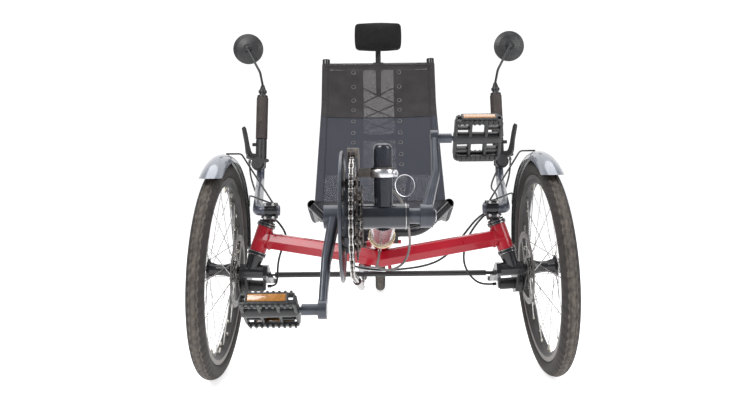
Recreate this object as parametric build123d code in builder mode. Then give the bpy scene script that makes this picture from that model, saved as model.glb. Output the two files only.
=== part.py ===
"""Recumbent tadpole tricycle: two steered front wheels, one driven rear wheel, mesh seat.

Millimetres, +Z up, the trike faces -Y, its left side is +X. The origin is on the ground,
under the middle of the trike's length.
"""

import os
from math import asin, atan2, cos, hypot, pi, radians, sin, tan

from build123d import *

os.makedirs("parts", exist_ok=True)

# ---------------------------------------------------------------- driving dimensions
WHEELBASE = 1070.0
FRONT_AXLE_Y = -334.0  # puts the middle of the trike's length at the origin
HALF_TRACK = 357.0  # wheel's middle plane at axle height
CAMBER = 3.0
TYRE_R = 237.0  # 20 inch wheel, bead seat 406 mm
TYRE_SECTION_R = 18.0
TYRE_WALL = 3.0
BEAD_R = 204.8
RIM_INNER_R = 186.0
RIM_HALF_WIDTH = 12.3
SPOKE_R = 1.0
SPOKE_COUNT = 28
HUB_FLANGE_R = 24.0
HUB_FLANGE_X = 28.0
FRONT_AXLE_R = 6.0
REAR_AXLE_R = 5.0
ROTOR_R = 80.0
ROTOR_X = -38.0  # from the wheel's middle, along its axle
RUNNING_GAP = 0.08

KINGPIN_X = 289.0
KINGPIN_INCLINATION = 18.6
CASTER = 10.0
STEERER_R = 12.7
HEAD_TUBE_R = 18.0
HEAD_TUBE_FROM = 42.0  # distances up the kingpin, from axle height
HEAD_TUBE_TO = 99.0

MAIN_TUBE_R = 25.4
MAIN_TUBE_BORE_R = 22.4
MAIN_TUBE_SLOPE = 0.18
BOOM_R = 22.3
COLLAR_Y = -124.0  # from here on, Y values in names are ahead of or behind the front axle
COLLAR_Z = 322.0
ARM_ACROSS_FLATS = 34.0
ARM_MIDDLE = (0.0, -40.0, 264.0)

BB_Y = -478.0
BB_Z = COLLAR_Z + (COLLAR_Y - BB_Y) * MAIN_TUBE_SLOPE
BB_SHELL_R = 19.0
BB_SHELL_LENGTH = 68.0
POST_R = 14.3
POST_TOP = 496.0
CRANK_LENGTH = 158.0
CRANK_ANGLE = 40.0  # right crank points this far ahead of straight down

CHAIN_PITCH = 12.7
CHAIN_X = -46.0
CHAIN_HALF_HEIGHT = 3.8
CHAIN_HALF_WIDTH = 3.5
RING_TEETH = (44, 32, 22)
COG_TEETH = 16
IDLER_TEETH = 13
PULLEY_TEETH = 10

SEAT_HALF_WIDTH = 180.0
SEAT_TUBE_R = 12.7
SEAT_PROFILE = ((290, 364), (415, 318), (492, 318), (768, 665), (796, 816))
SEAT_BENDS = (70, 55, 120)
SEAT_TOP_HALF_WIDTH = 172.0
FABRIC_OFFSET = 15.0
FABRIC_THICKNESS = 2.4

TIE_ROD_BALL = (271.0, 100.0, 209.0)
TIE_ROD_AXIS = (-0.2918, 0.0554, 0.9549)  # the axis that keeps both ends of the rod on their studs
TIE_ROD_R = 6.5
TIE_ROD_SOCKET_R = 5.6
SHANK_R = 2.5
EYE_R = 9.0
STUD_R = 3.0


def at(x, y, z):
    """A point given by its distance behind the front axle."""
    return Vector(x, FRONT_AXLE_Y + y, z)


def save(piece, label):
    """Labels one finished sub-part and writes its STEP file."""
    piece.part.label = label
    export_step(piece.part, f"parts/{label}.step")


def save_pair(piece, label):
    """Writes a left sub-part, and its mirror image as the right one."""
    save(piece, label + "_left")
    with BuildPart() as other:
        mirror(piece.part, about=Plane.YZ)
    save(other, label + "_right")


def rod(start, end, radius, mode=Mode.ADD):
    """Adds a straight round bar to the sub-part being built."""
    with BuildSketch(Plane(origin=start, z_dir=end - start)) as disc:
        Circle(radius)
    extrude(disc.sketch, amount=(end - start).length, mode=mode)


def bent_rod(points, bends, radius, bore=0.0):
    """Adds a round tube along straight runs joined by arcs."""
    with BuildLine() as path:
        FilletPolyline(*points, radius=bends)
    with BuildSketch(Plane(origin=path.line @ 0, z_dir=path.line % 0)) as disc:
        Circle(radius)
        if bore:
            Circle(bore, mode=Mode.SUBTRACT)
    sweep(disc.sketch, path=path.line)


def ring(plane, outer, inner, low, high, mode=Mode.ADD):
    """Adds a washer about a plane's normal, between two heights above the plane."""
    with BuildSketch(plane.offset(low)) as washer:
        Circle(outer)
        if inner:
            Circle(inner, mode=Mode.SUBTRACT)
    extrude(washer.sketch, amount=high - low, mode=mode)


def plate(plane, outline, thickness, corner=0.0, mode=Mode.ADD):
    """Adds a flat plate: a polygon on a plane, with rounded corners, thickened along its normal."""
    with BuildSketch(plane) as face:
        Polygon(*outline, align=None)
        if corner:
            fillet(face.vertices(), radius=corner)
    extrude(face.sketch, amount=thickness, mode=mode)


def block(centre, size, rotation=(0, 0, 0), mode=Mode.ADD):
    """Adds a box about its centre."""
    with Locations(Location(tuple(centre), rotation)):
        Box(*size, mode=mode)


# ---------------------------------------------------------------- wheel frames
camber_up = Vector(-sin(radians(CAMBER)), 0, cos(radians(CAMBER)))
camber_axle = Vector(cos(radians(CAMBER)), 0, sin(radians(CAMBER)))
FRONT_CENTRE_Z = (TYRE_R - TYRE_SECTION_R) * cos(radians(CAMBER)) + TYRE_SECTION_R
front_hub_frame = Plane(
    origin=at(HALF_TRACK, 0, FRONT_CENTRE_Z), x_dir=camber_axle, z_dir=camber_up
)
rear_hub_frame = Plane(origin=at(0, WHEELBASE, TYRE_R), x_dir=(1, 0, 0), z_dir=(0, 0, 1))


def across(hub):
    """Plane square to a wheel's axle, through the wheel's middle."""
    return Plane(origin=hub.origin, x_dir=hub.y_dir, z_dir=hub.x_dir)


def section(hub):
    """Plane through a wheel's axle: x runs along the axle and y is the radius."""
    return Plane(origin=hub.origin, x_dir=hub.x_dir, z_dir=-hub.y_dir)


def make_tyre(hub):
    with BuildPart() as tyre:
        with BuildSketch(section(hub)):
            with Locations((0, TYRE_R - TYRE_SECTION_R)):
                Circle(TYRE_SECTION_R)
                Circle(TYRE_SECTION_R - TYRE_WALL, mode=Mode.SUBTRACT)
            with Locations((0, BEAD_R + 0.2)):
                Rectangle(
                    60, 60, align=(Align.CENTER, Align.MAX), mode=Mode.SUBTRACT
                )
        revolve(axis=Axis(hub.origin, hub.x_dir))
    return tyre


def make_rim(hub):
    wall, floor = 2.4, 6.5
    half = RIM_HALF_WIDTH
    with BuildPart() as rim:
        with BuildSketch(section(hub)):
            with BuildLine():
                Polyline(
                    (-half, BEAD_R),
                    (-half, BEAD_R - 11),
                    (-half + 5, RIM_INNER_R),
                    (half - 5, RIM_INNER_R),
                    (half, BEAD_R - 11),
                    (half, BEAD_R),
                    (half - wall, BEAD_R),
                    (half - wall, BEAD_R - floor),
                    (wall - half, BEAD_R - floor),
                    (wall - half, BEAD_R),
                    close=True,
                )
            make_face()
        revolve(axis=Axis(hub.origin, hub.x_dir))
    return rim


def spoke_ends(hub, index, flange_r, flange_x):
    """Both ends of one spoke of a two-cross lacing, seated in the flange and in the rim."""
    step = 2 * pi / SPOKE_COUNT
    side = 1 if index % 2 else -1
    lean = 1 if index % 4 < 2 else -1
    rim_angle = index * step
    hub_angle = rim_angle + lean * 4.0 * step
    low, high = flange_r - 3.0, RIM_INNER_R + 1.5

    def point(radius, angle, x):
        return hub.from_local_coords(
            Vector(x, radius * cos(angle), radius * sin(angle))
        )

    return point(low, hub_angle, side * flange_x), point(high, rim_angle, side * 2.0)


def add_spokes(hub, flange_r, flange_x):
    for index in range(SPOKE_COUNT):
        rod(*spoke_ends(hub, index, flange_r, flange_x), SPOKE_R)


# ---------------------------------------------------------------- front wheels
front_across = across(front_hub_frame)
save_pair(make_tyre(front_hub_frame), "front_tyre")
save_pair(make_rim(front_hub_frame), "front_rim")

with BuildPart() as front_spokes:
    add_spokes(front_hub_frame, HUB_FLANGE_R, HUB_FLANGE_X)
save_pair(front_spokes, "front_spokes")

with BuildPart() as front_hub:
    with BuildSketch(section(front_hub_frame)):
        with BuildLine():
            Polyline(
                (-36, FRONT_AXLE_R + RUNNING_GAP),
                (-36, 21),
                (-32, 21),
                (-31, 17),
                (-HUB_FLANGE_X - 1.6, 17),
                (-HUB_FLANGE_X - 1.6, HUB_FLANGE_R),
                (-HUB_FLANGE_X + 1.6, HUB_FLANGE_R),
                (-HUB_FLANGE_X + 6, 16.5),
                (-8, 12.5),
                (8, 12.5),
                (HUB_FLANGE_X - 6, 16.5),
                (HUB_FLANGE_X - 1.6, HUB_FLANGE_R),
                (HUB_FLANGE_X + 1.6, HUB_FLANGE_R),
                (HUB_FLANGE_X + 3, 17),
                (36, 15),
                (36, FRONT_AXLE_R + RUNNING_GAP),
                close=True,
            )
        make_face()
    revolve(axis=Axis(front_hub_frame.origin, front_hub_frame.x_dir))
save_pair(front_hub, "front_hub")

with BuildPart() as rotor:
    with BuildSketch(front_across.offset(ROTOR_X)):
        Circle(ROTOR_R)
        Circle(ROTOR_R - 14, mode=Mode.SUBTRACT)
        with PolarLocations(0, 6):
            with Locations((44, 0)):
                Rectangle(50, 7, rotation=12)
        Circle(22)
        Circle(13, mode=Mode.SUBTRACT)
        with PolarLocations(18, 6):
            Circle(2.6, mode=Mode.SUBTRACT)
        with PolarLocations(ROTOR_R - 7, 24):
            Circle(2.2, mode=Mode.SUBTRACT)
    extrude(amount=0.9, both=True)
save_pair(rotor, "brake_rotor")

# ---------------------------------------------------------------- steering knuckle
kingpin = Plane(
    origin=at(KINGPIN_X, 0, TYRE_R),
    x_dir=(1, 0, tan(radians(KINGPIN_INCLINATION))),
    z_dir=Vector(-tan(radians(KINGPIN_INCLINATION)), tan(radians(CASTER)), 1).normalized(),
)
CROWN = HEAD_TUBE_FROM - 10.0
STEM_FROM = HEAD_TUBE_TO + 16.0
STEM_TO = STEM_FROM + 34.0
AXLE_BLOCK = (-96.0, -44.0)
AXLE_BLOCK_R = 15.0
CALIPER_AT = (56.0, -42.0)  # behind and below the axle
CALIPER_HOUSING_R = 13.0
BRACKET_X = -58.2

ball = at(*TIE_ROD_BALL)
stud = Plane(origin=ball, x_dir=(1, 0, 0.3056), z_dir=TIE_ROD_AXIS)
ARM_TOP = TIE_ROD_BALL[2] - 9.0
ARM_THICKNESS = 9.0

with BuildPart() as knuckle:
    # axle block, stub axle and its end bolt
    ring(front_across, AXLE_BLOCK_R, 0, *AXLE_BLOCK)
    ring(front_across, FRONT_AXLE_R, 0, AXLE_BLOCK[1], 36.4)
    ring(front_across, 9, 0, AXLE_BLOCK[1], AXLE_BLOCK[1] + 4)
    ring(front_across, 10, 0, 36.4, 40)
    # crown and steerer
    with BuildSketch(kingpin):
        Circle(14)
    with BuildSketch(kingpin.offset(CROWN)):
        Circle(18)
    loft()
    ring(kingpin, STEERER_R, 0, CROWN, STEM_TO)
    # steering arm: a plate on the block's inner end that runs back and down to the tie rod
    arm_plate = Plane(origin=(TIE_ROD_BALL[0] - 19, FRONT_AXLE_Y, 0), x_dir=(0, 1, 0), z_dir=(1, 0, 0))
    arm_outline = [
        (-16, 224), (-10, 246), (12, 246), (52, 218), (98, ARM_TOP), (110, ARM_TOP),
        (110, ARM_TOP - ARM_THICKNESS), (86, ARM_TOP - ARM_THICKNESS), (40, 200), (6, 216),
    ]
    plate(arm_plate, arm_outline, 10, corner=2)
    with BuildSketch(Plane.XY.offset(ARM_TOP - ARM_THICKNESS)):
        with Locations((ball.X - 6, ball.Y)):
            SlotOverall(32, 20)
    extrude(amount=ARM_THICKNESS)
    # stud that the tie rod's end turns on
    ring(stud, STUD_R, 0, -12, 9)
    ring(stud, 5.5, 0, -9, -5.2)
    ring(stud, 5.5, 0, 5.2, 9)
    # bracket for the caliper, behind and below the axle
    bracket_outline = [(-8, -6), (6, 8), (40, -10), (74, -24), (80, -50), (60, -66), (36, -58)]
    plate(front_across.offset(BRACKET_X), bracket_outline, 6, corner=2.5)
    caliper_axis = Plane(
        origin=front_across.from_local_coords(Vector(*CALIPER_AT, 0)),
        x_dir=front_across.x_dir,
        z_dir=front_across.z_dir,
    )
    ring(caliper_axis, CALIPER_HOUSING_R + 0.5, 0, BRACKET_X - 1, BRACKET_X + 7, mode=Mode.SUBTRACT)
save_pair(knuckle, "steering_knuckle")

with BuildPart() as headset:
    ring(kingpin, 20.5, STEERER_R + RUNNING_GAP, HEAD_TUBE_FROM - 9.7, HEAD_TUBE_FROM - 0.1)
    ring(kingpin, 20.5, STEERER_R + RUNNING_GAP, HEAD_TUBE_TO + 0.1, HEAD_TUBE_TO + 8)
    ring(kingpin, 18.0, STEERER_R + RUNNING_GAP, HEAD_TUBE_TO + 8, HEAD_TUBE_TO + 13)
    mirror(about=Plane.YZ)
save(headset, "headset_cups")

# ---------------------------------------------------------------- stem and handlebar
BAR_R = 11.1
BAR_CLAMP = (242.0, -15.0, 368.0)
BAR_POINTS = (at(222, -15, 368), at(270, -15, 368), at(336, 425, 425), at(333, 470, 662))
BAR_BENDS = (13, 42)
GRIP_LENGTH = 122.0
GRIP_R = 16.5
BAR_TOP = BAR_POINTS[3]
grip_axis = (BAR_TOP - BAR_POINTS[2]).normalized()
# frame of the hand controls: z up the grip from its lower end, x outward, y towards the rider
controls = Plane(
    origin=BAR_TOP - grip_axis * GRIP_LENGTH,
    x_dir=(1, 0, -grip_axis.X / grip_axis.Z),
    z_dir=grip_axis,
)

with BuildPart() as handlebar:
    bent_rod(BAR_POINTS, BAR_BENDS, BAR_R)
save_pair(handlebar, "handlebar")

stem_middle = kingpin.offset((STEM_FROM + STEM_TO) / 2).origin
bar_clamp = Plane(origin=at(*BAR_CLAMP), x_dir=(0, 1, 0), z_dir=(1, 0, 0))
with BuildPart() as stem:
    ring(kingpin, 17.0, 0, STEM_FROM, STEM_TO)
    ring(bar_clamp, 17.5, 0, -15, 11)
    neck = bar_clamp.origin - stem_middle
    with BuildSketch(Plane(origin=stem_middle, x_dir=(1, 0, 0), z_dir=neck)):
        RectangleRounded(24, 30, 6)
    extrude(amount=neck.length)
    ring(kingpin, STEERER_R + 0.05, 0, STEM_FROM - 5, STEM_TO + 9, mode=Mode.SUBTRACT)
    ring(bar_clamp, BAR_R + 0.05, 0, -30, 30, mode=Mode.SUBTRACT)
    for x in (-10, 10):
        for z in (-14, 14):
            rod(bar_clamp.origin + Vector(x, -12, z), bar_clamp.origin + Vector(x, -20, z), 3.2)
save_pair(stem, "stem")

with BuildPart() as grip:
    ring(controls, GRIP_R, BAR_R + 0.05, 0, GRIP_LENGTH - 0.3)
    fillet(grip.edges().filter_by(GeomType.CIRCLE).group_by(SortBy.RADIUS)[-1], 2.5)
    # palm slot in the forward face of the grip
    slot_plane = Plane(
        origin=controls.from_local_coords(Vector(0, -GRIP_R, 28)),
        x_dir=grip_axis,
        z_dir=controls.y_dir,
    )
    with BuildSketch(slot_plane):
        SlotOverall(40, 12)
    extrude(amount=2.5, mode=Mode.SUBTRACT)
save_pair(grip, "grip")

# ---------------------------------------------------------------- brake and shift controls
lever_reach = (controls.x_dir - controls.y_dir).normalized()  # outward and forward
lever_plane = Plane(origin=controls.origin, x_dir=lever_reach, z_dir=lever_reach.cross(grip_axis))
LEVER_PIVOT = (36.0, -54.0)
POD_R = 18.5
pod_face = Plane(
    origin=controls.from_local_coords(Vector(4, -13, -75)),
    x_dir=controls.x_dir,
    z_dir=-controls.y_dir,
)
with BuildPart() as control_pod:
    ring(controls, 15.5, BAR_R + 0.05, -64, -3)
    rod(controls.from_local_coords(Vector(12, 0, -15)), controls.from_local_coords(Vector(25, 0, -15)), 5)
    for low in (-8.2, 4.2):
        cheek = [(12, -62), (12, -46), (30, -46), (44, -48), (44, -60), (30, -62)]
        plate(lever_plane.offset(low), cheek, 4, corner=2)
    pivot_axis = Plane(
        origin=lever_plane.from_local_coords(Vector(*LEVER_PIVOT, 0)), z_dir=lever_plane.z_dir
    )
    ring(pivot_axis, 2.5, 0, -9.4, 9.4)
    # round shifter housing, ahead of the bar and just under the brake perch
    ring(pod_face, POD_R, 0, 0, 15)
    ring(pod_face, 3, 0, 15, 20.2)
    ring(controls, 14.5, 0, -82, -66)
    ring(controls, BAR_R + 0.05, 0, -110, -40, mode=Mode.SUBTRACT)
save_pair(control_pod, "control_pod")

with BuildPart() as brake_lever:
    blade = [
        (29, -60), (43, -60), (50, -46), (54, -20), (61, 6), (65, 22), (60, 28), (55, 22),
        (49, 4), (42, -24), (36, -40), (29, -48),
    ]
    plate(lever_plane.offset(-3.8), blade, 7.6, corner=2)
    ring(pivot_axis, 2.5 + RUNNING_GAP, 0, -6, 6, mode=Mode.SUBTRACT)
save_pair(brake_lever, "brake_lever")

with BuildPart() as shift_lever:
    ring(pod_face, 15, 3 + RUNNING_GAP, 15.4, 19.4)
    with BuildSketch(pod_face.offset(15.4)):
        with Locations((-20, 6)):
            SlotOverall(24, 9, rotation=-17)
    extrude(amount=4)
save_pair(shift_lever, "shift_lever")

# ---------------------------------------------------------------- mirrors
MIRROR_R = 42.5
MIRROR_CENTRE = at(371, 470, 800)
MIRROR_BALL = at(371, 449, 799)
MIRROR_BALL_R = 6.0
with BuildPart() as mirror_arm:
    bar_end = Plane(origin=BAR_TOP, x_dir=controls.x_dir, z_dir=grip_axis)
    ring(bar_end, 15.0, 0, 0.2, 5)
    ring(bar_end, 9.0, 0, 5, 14)
    ring(bar_end, 12.0, 0, 14, 20)
    with BuildSketch(bar_end.offset(20)):
        Circle(10)
    with BuildSketch(bar_end.offset(36)):
        Circle(5)
    loft()
    bent_rod((BAR_TOP + grip_axis * 34, at(331, 422, 728), MIRROR_BALL), 9, 3.4)
    with Locations(MIRROR_BALL):
        Sphere(MIRROR_BALL_R)
save_pair(mirror_arm, "mirror_arm")

with BuildPart() as mirror_head:
    with BuildSketch(Plane(origin=MIRROR_CENTRE, x_dir=(0, 1, 0), z_dir=(1, 0, 0))):
        Polygon((-13, 0), (-13, 13), (-9, 30), (-3, MIRROR_R), (4, MIRROR_R), (4, 0), align=None)
    revolve(axis=Axis(MIRROR_CENTRE, (0, 1, 0)))
    ring(Plane(origin=MIRROR_CENTRE, z_dir=(0, -1, 0)), 10, 0, 9, 18)
    with Locations(MIRROR_BALL):
        Sphere(MIRROR_BALL_R + RUNNING_GAP, mode=Mode.SUBTRACT)
save_pair(mirror_head, "mirror")

# ---------------------------------------------------------------- brake calipers
with BuildPart() as caliper:
    with BuildSketch(caliper_axis.offset(ROTOR_X - 14)):
        RectangleRounded(46, 30, 8, rotation=-37)
    extrude(amount=25)
    # slot that the rotor runs in
    ring(front_across, ROTOR_R + 2, 0, ROTOR_X - 1.8, ROTOR_X + 1.8, mode=Mode.SUBTRACT)
    # housing of the piston and its actuating arm
    ring(caliper_axis, CALIPER_HOUSING_R, 0, ROTOR_X - 51, ROTOR_X - 14)
    arm_face = caliper_axis.offset(ROTOR_X - 55)
    plate(arm_face, [(-9, -9), (9, -9), (5, 10), (-8, 30), (-16, 26), (-9, 6)], 4, corner=2)
save_pair(caliper, "brake_caliper")

# ---------------------------------------------------------------- mudguards on the front wheels
FENDER_R = TYRE_R + 19.0
FENDER_FRONT = 39.0
FENDER_REAR = 86.0
FENDER_LIP_Z = 441.0
FENDER_HALF_WIDTH = 23.5
FENDER_DEPTH = 17.0
FENDER_WALL = 2.0
STAY_R = 2.0


def fender_point(angle, radius, x=0.0):
    """A point over the wheel, this many degrees behind its top."""
    turn = radians(angle)
    return front_hub_frame.from_local_coords(Vector(x, radius * sin(turn), radius * cos(turn)))


front_edge = fender_point(-FENDER_FRONT, 1.0) - front_hub_frame.origin
fender_section = Plane(
    origin=front_hub_frame.origin,
    x_dir=front_hub_frame.x_dir,
    z_dir=front_hub_frame.x_dir.cross(front_edge),
)
stay_foot = kingpin.offset(STEM_TO + 4).origin
with BuildPart() as fender:
    with BuildSketch(fender_section):
        with BuildLine():
            edge, low = FENDER_HALF_WIDTH, FENDER_R - FENDER_DEPTH
            outer_arc = ThreePointArc((-edge, low), (0, FENDER_R), (edge, low))
            inner = edge - FENDER_WALL
            inner_arc = ThreePointArc((inner, low), (0, FENDER_R - FENDER_WALL), (-inner, low))
            Line(outer_arc @ 1, inner_arc @ 0)
            Line(inner_arc @ 1, outer_arc @ 0)
        make_face()
    revolve(
        axis=Axis(front_hub_frame.origin, -front_hub_frame.x_dir),
        revolution_arc=FENDER_FRONT + FENDER_REAR,
    )
    # the front end is cut level
    block(at(HALF_TRACK, -190, FENDER_LIP_Z - 60), (120, 160, 120), mode=Mode.SUBTRACT)
    # wire stays from the stem to the crown and to the rear of the mudguard
    crown_point = fender_point(4, FENDER_R + STAY_R - 0.4)
    bent_rod((stay_foot, at(311, 26, crown_point.Z), crown_point), 10, STAY_R)
    ring(kingpin, 12, 0, STEM_TO + 0.1, STEM_TO + 6)
    rear_point = fender_point(58, FENDER_R - 11, -FENDER_HALF_WIDTH)
    bent_rod((stay_foot, at(300, 58, 399), rear_point), 25, STAY_R)
save_pair(fender, "front_mudguard")

# ---------------------------------------------------------------- tie rod
SOCKET_FROM = 20.0  # distances from the ball's centre
SOCKET_TO = 66.0
SHANK_TO = 46.0
across_trike = Plane(origin=ball, x_dir=(0, 1, 0), z_dir=(-1, 0, 0))
other_ball = at(-TIE_ROD_BALL[0], *TIE_ROD_BALL[1:])
rod_length = 2 * TIE_ROD_BALL[0]
with BuildPart() as tie_rod:
    ring(stud, EYE_R, 0, -4.5, 4.5)
    ring(across_trike, 4.0, 0, 7, 26)
    ring(across_trike, TIE_ROD_R, 0, 26, rod_length - SOCKET_FROM)
    # socket that the right-hand end slides in
    ring(across_trike, TIE_ROD_SOCKET_R, 0, rod_length - SOCKET_TO, rod_length, mode=Mode.SUBTRACT)
    ring(stud, STUD_R + RUNNING_GAP, 0, -12, 12, mode=Mode.SUBTRACT)
save(tie_rod, "tie_rod")

right_stud = Plane(
    origin=other_ball,
    x_dir=(1, 0, -0.3056),
    z_dir=(-TIE_ROD_AXIS[0], TIE_ROD_AXIS[1], TIE_ROD_AXIS[2]),
)
with BuildPart() as tie_rod_end:
    ring(right_stud, EYE_R, 0, -4.5, 4.5)
    ring(across_trike, SHANK_R, 0, rod_length - SHANK_TO, rod_length - 4)
    ring(right_stud, STUD_R + RUNNING_GAP, 0, -12, 12, mode=Mode.SUBTRACT)
save(tie_rod_end, "tie_rod_end")

# ---------------------------------------------------------------- main frame
LEVEL_Z = 245.0
LEVEL_Y = COLLAR_Y + (COLLAR_Z - LEVEL_Z) / MAIN_TUBE_SLOPE
MAIN_TUBE_REAR = 780.0
CHAINSTAY_R = 10.0
DROPOUT_X = 67.5
DROPOUT_THICKNESS = 6.0
EYELET = (1090.0, 260.0)
STRUT_FOOT = (1070.0, 256.0)
SEAT_BAR = (290.0, 264.0)
SEAT_BAR_R = 5.0
SMALL_BOLT_R = 2.5
BOSS_SPACING = 64.0
BOSS_Y = 600.0
BOSS_TOP = LEVEL_Z + MAIN_TUBE_R + 2.6
IDLER_AT = (200.0, 268.0)
GUIDE_BOSS = (-46.0, 66.0, 229.0)

front_tube = Plane(
    origin=at(0, COLLAR_Y, COLLAR_Z), x_dir=(1, 0, 0), z_dir=(0, 1, -MAIN_TUBE_SLOPE)
)
sideways = Plane(origin=(0, FRONT_AXLE_Y, 0), x_dir=(0, 1, 0), z_dir=(1, 0, 0))
with BuildPart() as main_frame:
    bent_rod(
        (at(0, COLLAR_Y, COLLAR_Z), at(0, LEVEL_Y, LEVEL_Z), at(0, MAIN_TUBE_REAR, LEVEL_Z)),
        200,
        MAIN_TUBE_R,
        MAIN_TUBE_BORE_R,
    )
    ring(front_tube, MAIN_TUBE_R + 1.4, MAIN_TUBE_BORE_R, 0, 9)
    rod(at(0, MAIN_TUBE_REAR - 3, LEVEL_Z), at(0, MAIN_TUBE_REAR, LEVEL_Z), MAIN_TUBE_R)
    for side in (-1, 1):
        chainstay = [(12, 740, 236), (64, 850, 228), (70, 985, 231), (70, 1046, 236)]
        bent_rod([at(side * x, y, z) for x, y, z in chainstay], (60, 120), CHAINSTAY_R)
        dropout = [
            (1030, 222), (1040, 246), (1064, 262), (1096, 274), (1104, 256), (1090, 222), (1060, 212),
        ]
        start = DROPOUT_X if side > 0 else -DROPOUT_X - DROPOUT_THICKNESS
        plate(sideways.offset(start), dropout, DROPOUT_THICKNESS, corner=4)
        rod(at(side * 60.4, WHEELBASE, TYRE_R), at(side * DROPOUT_X, WHEELBASE, TYRE_R), 8)
        rod(at(side * 73.5, WHEELBASE, TYRE_R), at(side * 80, WHEELBASE, TYRE_R), 9)
    rod(at(-80, WHEELBASE, TYRE_R), at(80, WHEELBASE, TYRE_R), REAR_AXLE_R)
    rod(at(-80, *EYELET), at(80, *EYELET), SMALL_BOLT_R, mode=Mode.SUBTRACT)
    hanger = [(1070, 226), (1096, 226), (1098, 200), (1074, 196)]
    plate(sideways.offset(-DROPOUT_X - DROPOUT_THICKNESS), hanger, DROPOUT_THICKNESS)
    # cross bar that carries the front of the seat
    rod(at(-53, *SEAT_BAR), at(53, *SEAT_BAR), SEAT_BAR_R)
    # boss for the idler's bolt
    rod(at(-18, *IDLER_AT), at(-36, *IDLER_AT), 9)
    # tab and boss that hold the chain tube, under the main tube
    tab = Plane(origin=at(0, GUIDE_BOSS[1] + 8, 0), x_dir=(1, 0, 0), z_dir=(0, -1, 0))
    plate(tab, [(-14, 268), (12, 264), (-38, 222), (-52, 222), (-54, 236)], 8, corner=2)
    guide = at(*GUIDE_BOSS)
    rod(guide - Vector(0, 4, 0), guide + Vector(0, 8, 0), 8)
    # stop for the front derailleur's cable, under the front of the main tube
    rod(at(-5, -104, 289.2), at(-5, -86, 286), 4.5)
    # two threaded bosses behind the seat
    for step in (0, BOSS_SPACING):
        rod(at(0, BOSS_Y + step, LEVEL_Z + 23), at(0, BOSS_Y + step, BOSS_TOP), 6)
    for step in (0, BOSS_SPACING):
        low, high = at(0, BOSS_Y + step, LEVEL_Z + 10), at(0, BOSS_Y + step, BOSS_TOP + 5)
        rod(low, high, SMALL_BOLT_R, mode=Mode.SUBTRACT)
save(main_frame, "main_frame")

arm_end = kingpin.offset((HEAD_TUBE_FROM + HEAD_TUBE_TO) / 2 - 0.5).origin
arm_start = at(*ARM_MIDDLE)
arm_direction = (arm_end - arm_start).normalized()
with BuildPart() as cross_member:
    with BuildSketch(
        Plane(
            origin=arm_start - arm_direction * 8,
            x_dir=Vector(0, 0, 1).cross(arm_direction),
            z_dir=arm_direction,
        )
    ) as hexagon:
        RegularPolygon(ARM_ACROSS_FLATS / 2, 6, major_radius=False)
        fillet(hexagon.vertices(), 4)
    extrude(amount=(arm_end - arm_start).length + 8)
    split(bisect_by=Plane.YZ, keep=Keep.TOP)
    ring(kingpin, HEAD_TUBE_R, 0, HEAD_TUBE_FROM, HEAD_TUBE_TO)
    ring(kingpin, STEERER_R + 2, 0, HEAD_TUBE_FROM - 5, HEAD_TUBE_TO + 5, mode=Mode.SUBTRACT)
    mirror(about=Plane.YZ)
    # saddle for the main tube, and a short post underneath
    ring(front_tube, MAIN_TUBE_R, 0, 9, 200, mode=Mode.SUBTRACT)
    rod(at(15, -18, 258), at(18, -18, 235), 4)
save(cross_member, "cross_member")

BOOM_FROM = -hypot(1, MAIN_TUBE_SLOPE) * (COLLAR_Y - BB_Y)
COLLAR_ON_POST = 460.0
bb = Plane(origin=at(0, BB_Y, BB_Z), x_dir=(0, 1, 0), z_dir=(1, 0, 0))
with BuildPart() as boom:
    ring(front_tube, BOOM_R, 0, BOOM_FROM, 104)
    ring(front_tube, BOOM_R - 2.5, 0, BOOM_FROM, 105, mode=Mode.SUBTRACT)
    ring(bb, BB_SHELL_R, 0, -BB_SHELL_LENGTH / 2, BB_SHELL_LENGTH / 2)
    rod(at(0, BB_Y, BB_Z + 15), at(0, BB_Y, POST_TOP), POST_R)
    fillet(boom.faces().sort_by(Axis.Z)[-1].edges(), 8)
    rod(at(0, BB_Y, COLLAR_ON_POST), at(0, BB_Y, COLLAR_ON_POST + 2), POST_R + 1)
    ring(bb, BB_SHELL_R - 3, 0, -BB_SHELL_LENGTH, BB_SHELL_LENGTH, mode=Mode.SUBTRACT)
save(boom, "boom")

SPINDLE_R = 12.0
with BuildPart() as bottom_bracket:
    ring(bb, BB_SHELL_R - 3.05, SPINDLE_R + RUNNING_GAP, 20, BB_SHELL_LENGTH / 2)
    ring(bb, BB_SHELL_R - 0.5, SPINDLE_R + RUNNING_GAP, BB_SHELL_LENGTH / 2, BB_SHELL_LENGTH / 2 + 5)
    mirror(about=Plane.YZ)
save(bottom_bracket, "bottom_bracket")

# ---------------------------------------------------------------- cranks and chainrings
CRANK_EYE_X = 86.0
CRANK_BOW_X = 84.0
PEDAL_FROM = 118.0
PEDAL_TO = 198.0
PEDAL_SPINDLE_R = 4.5
BOLT_CIRCLE_R = 52.0
RING_X = (CHAIN_X, CHAIN_X + 7, CHAIN_X + 14)
RING_INNER_R = (44.0, 31.0, 28.0)
SPACER_CIRCLE_R = 36.0
GUARD_R = 100.0


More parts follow.
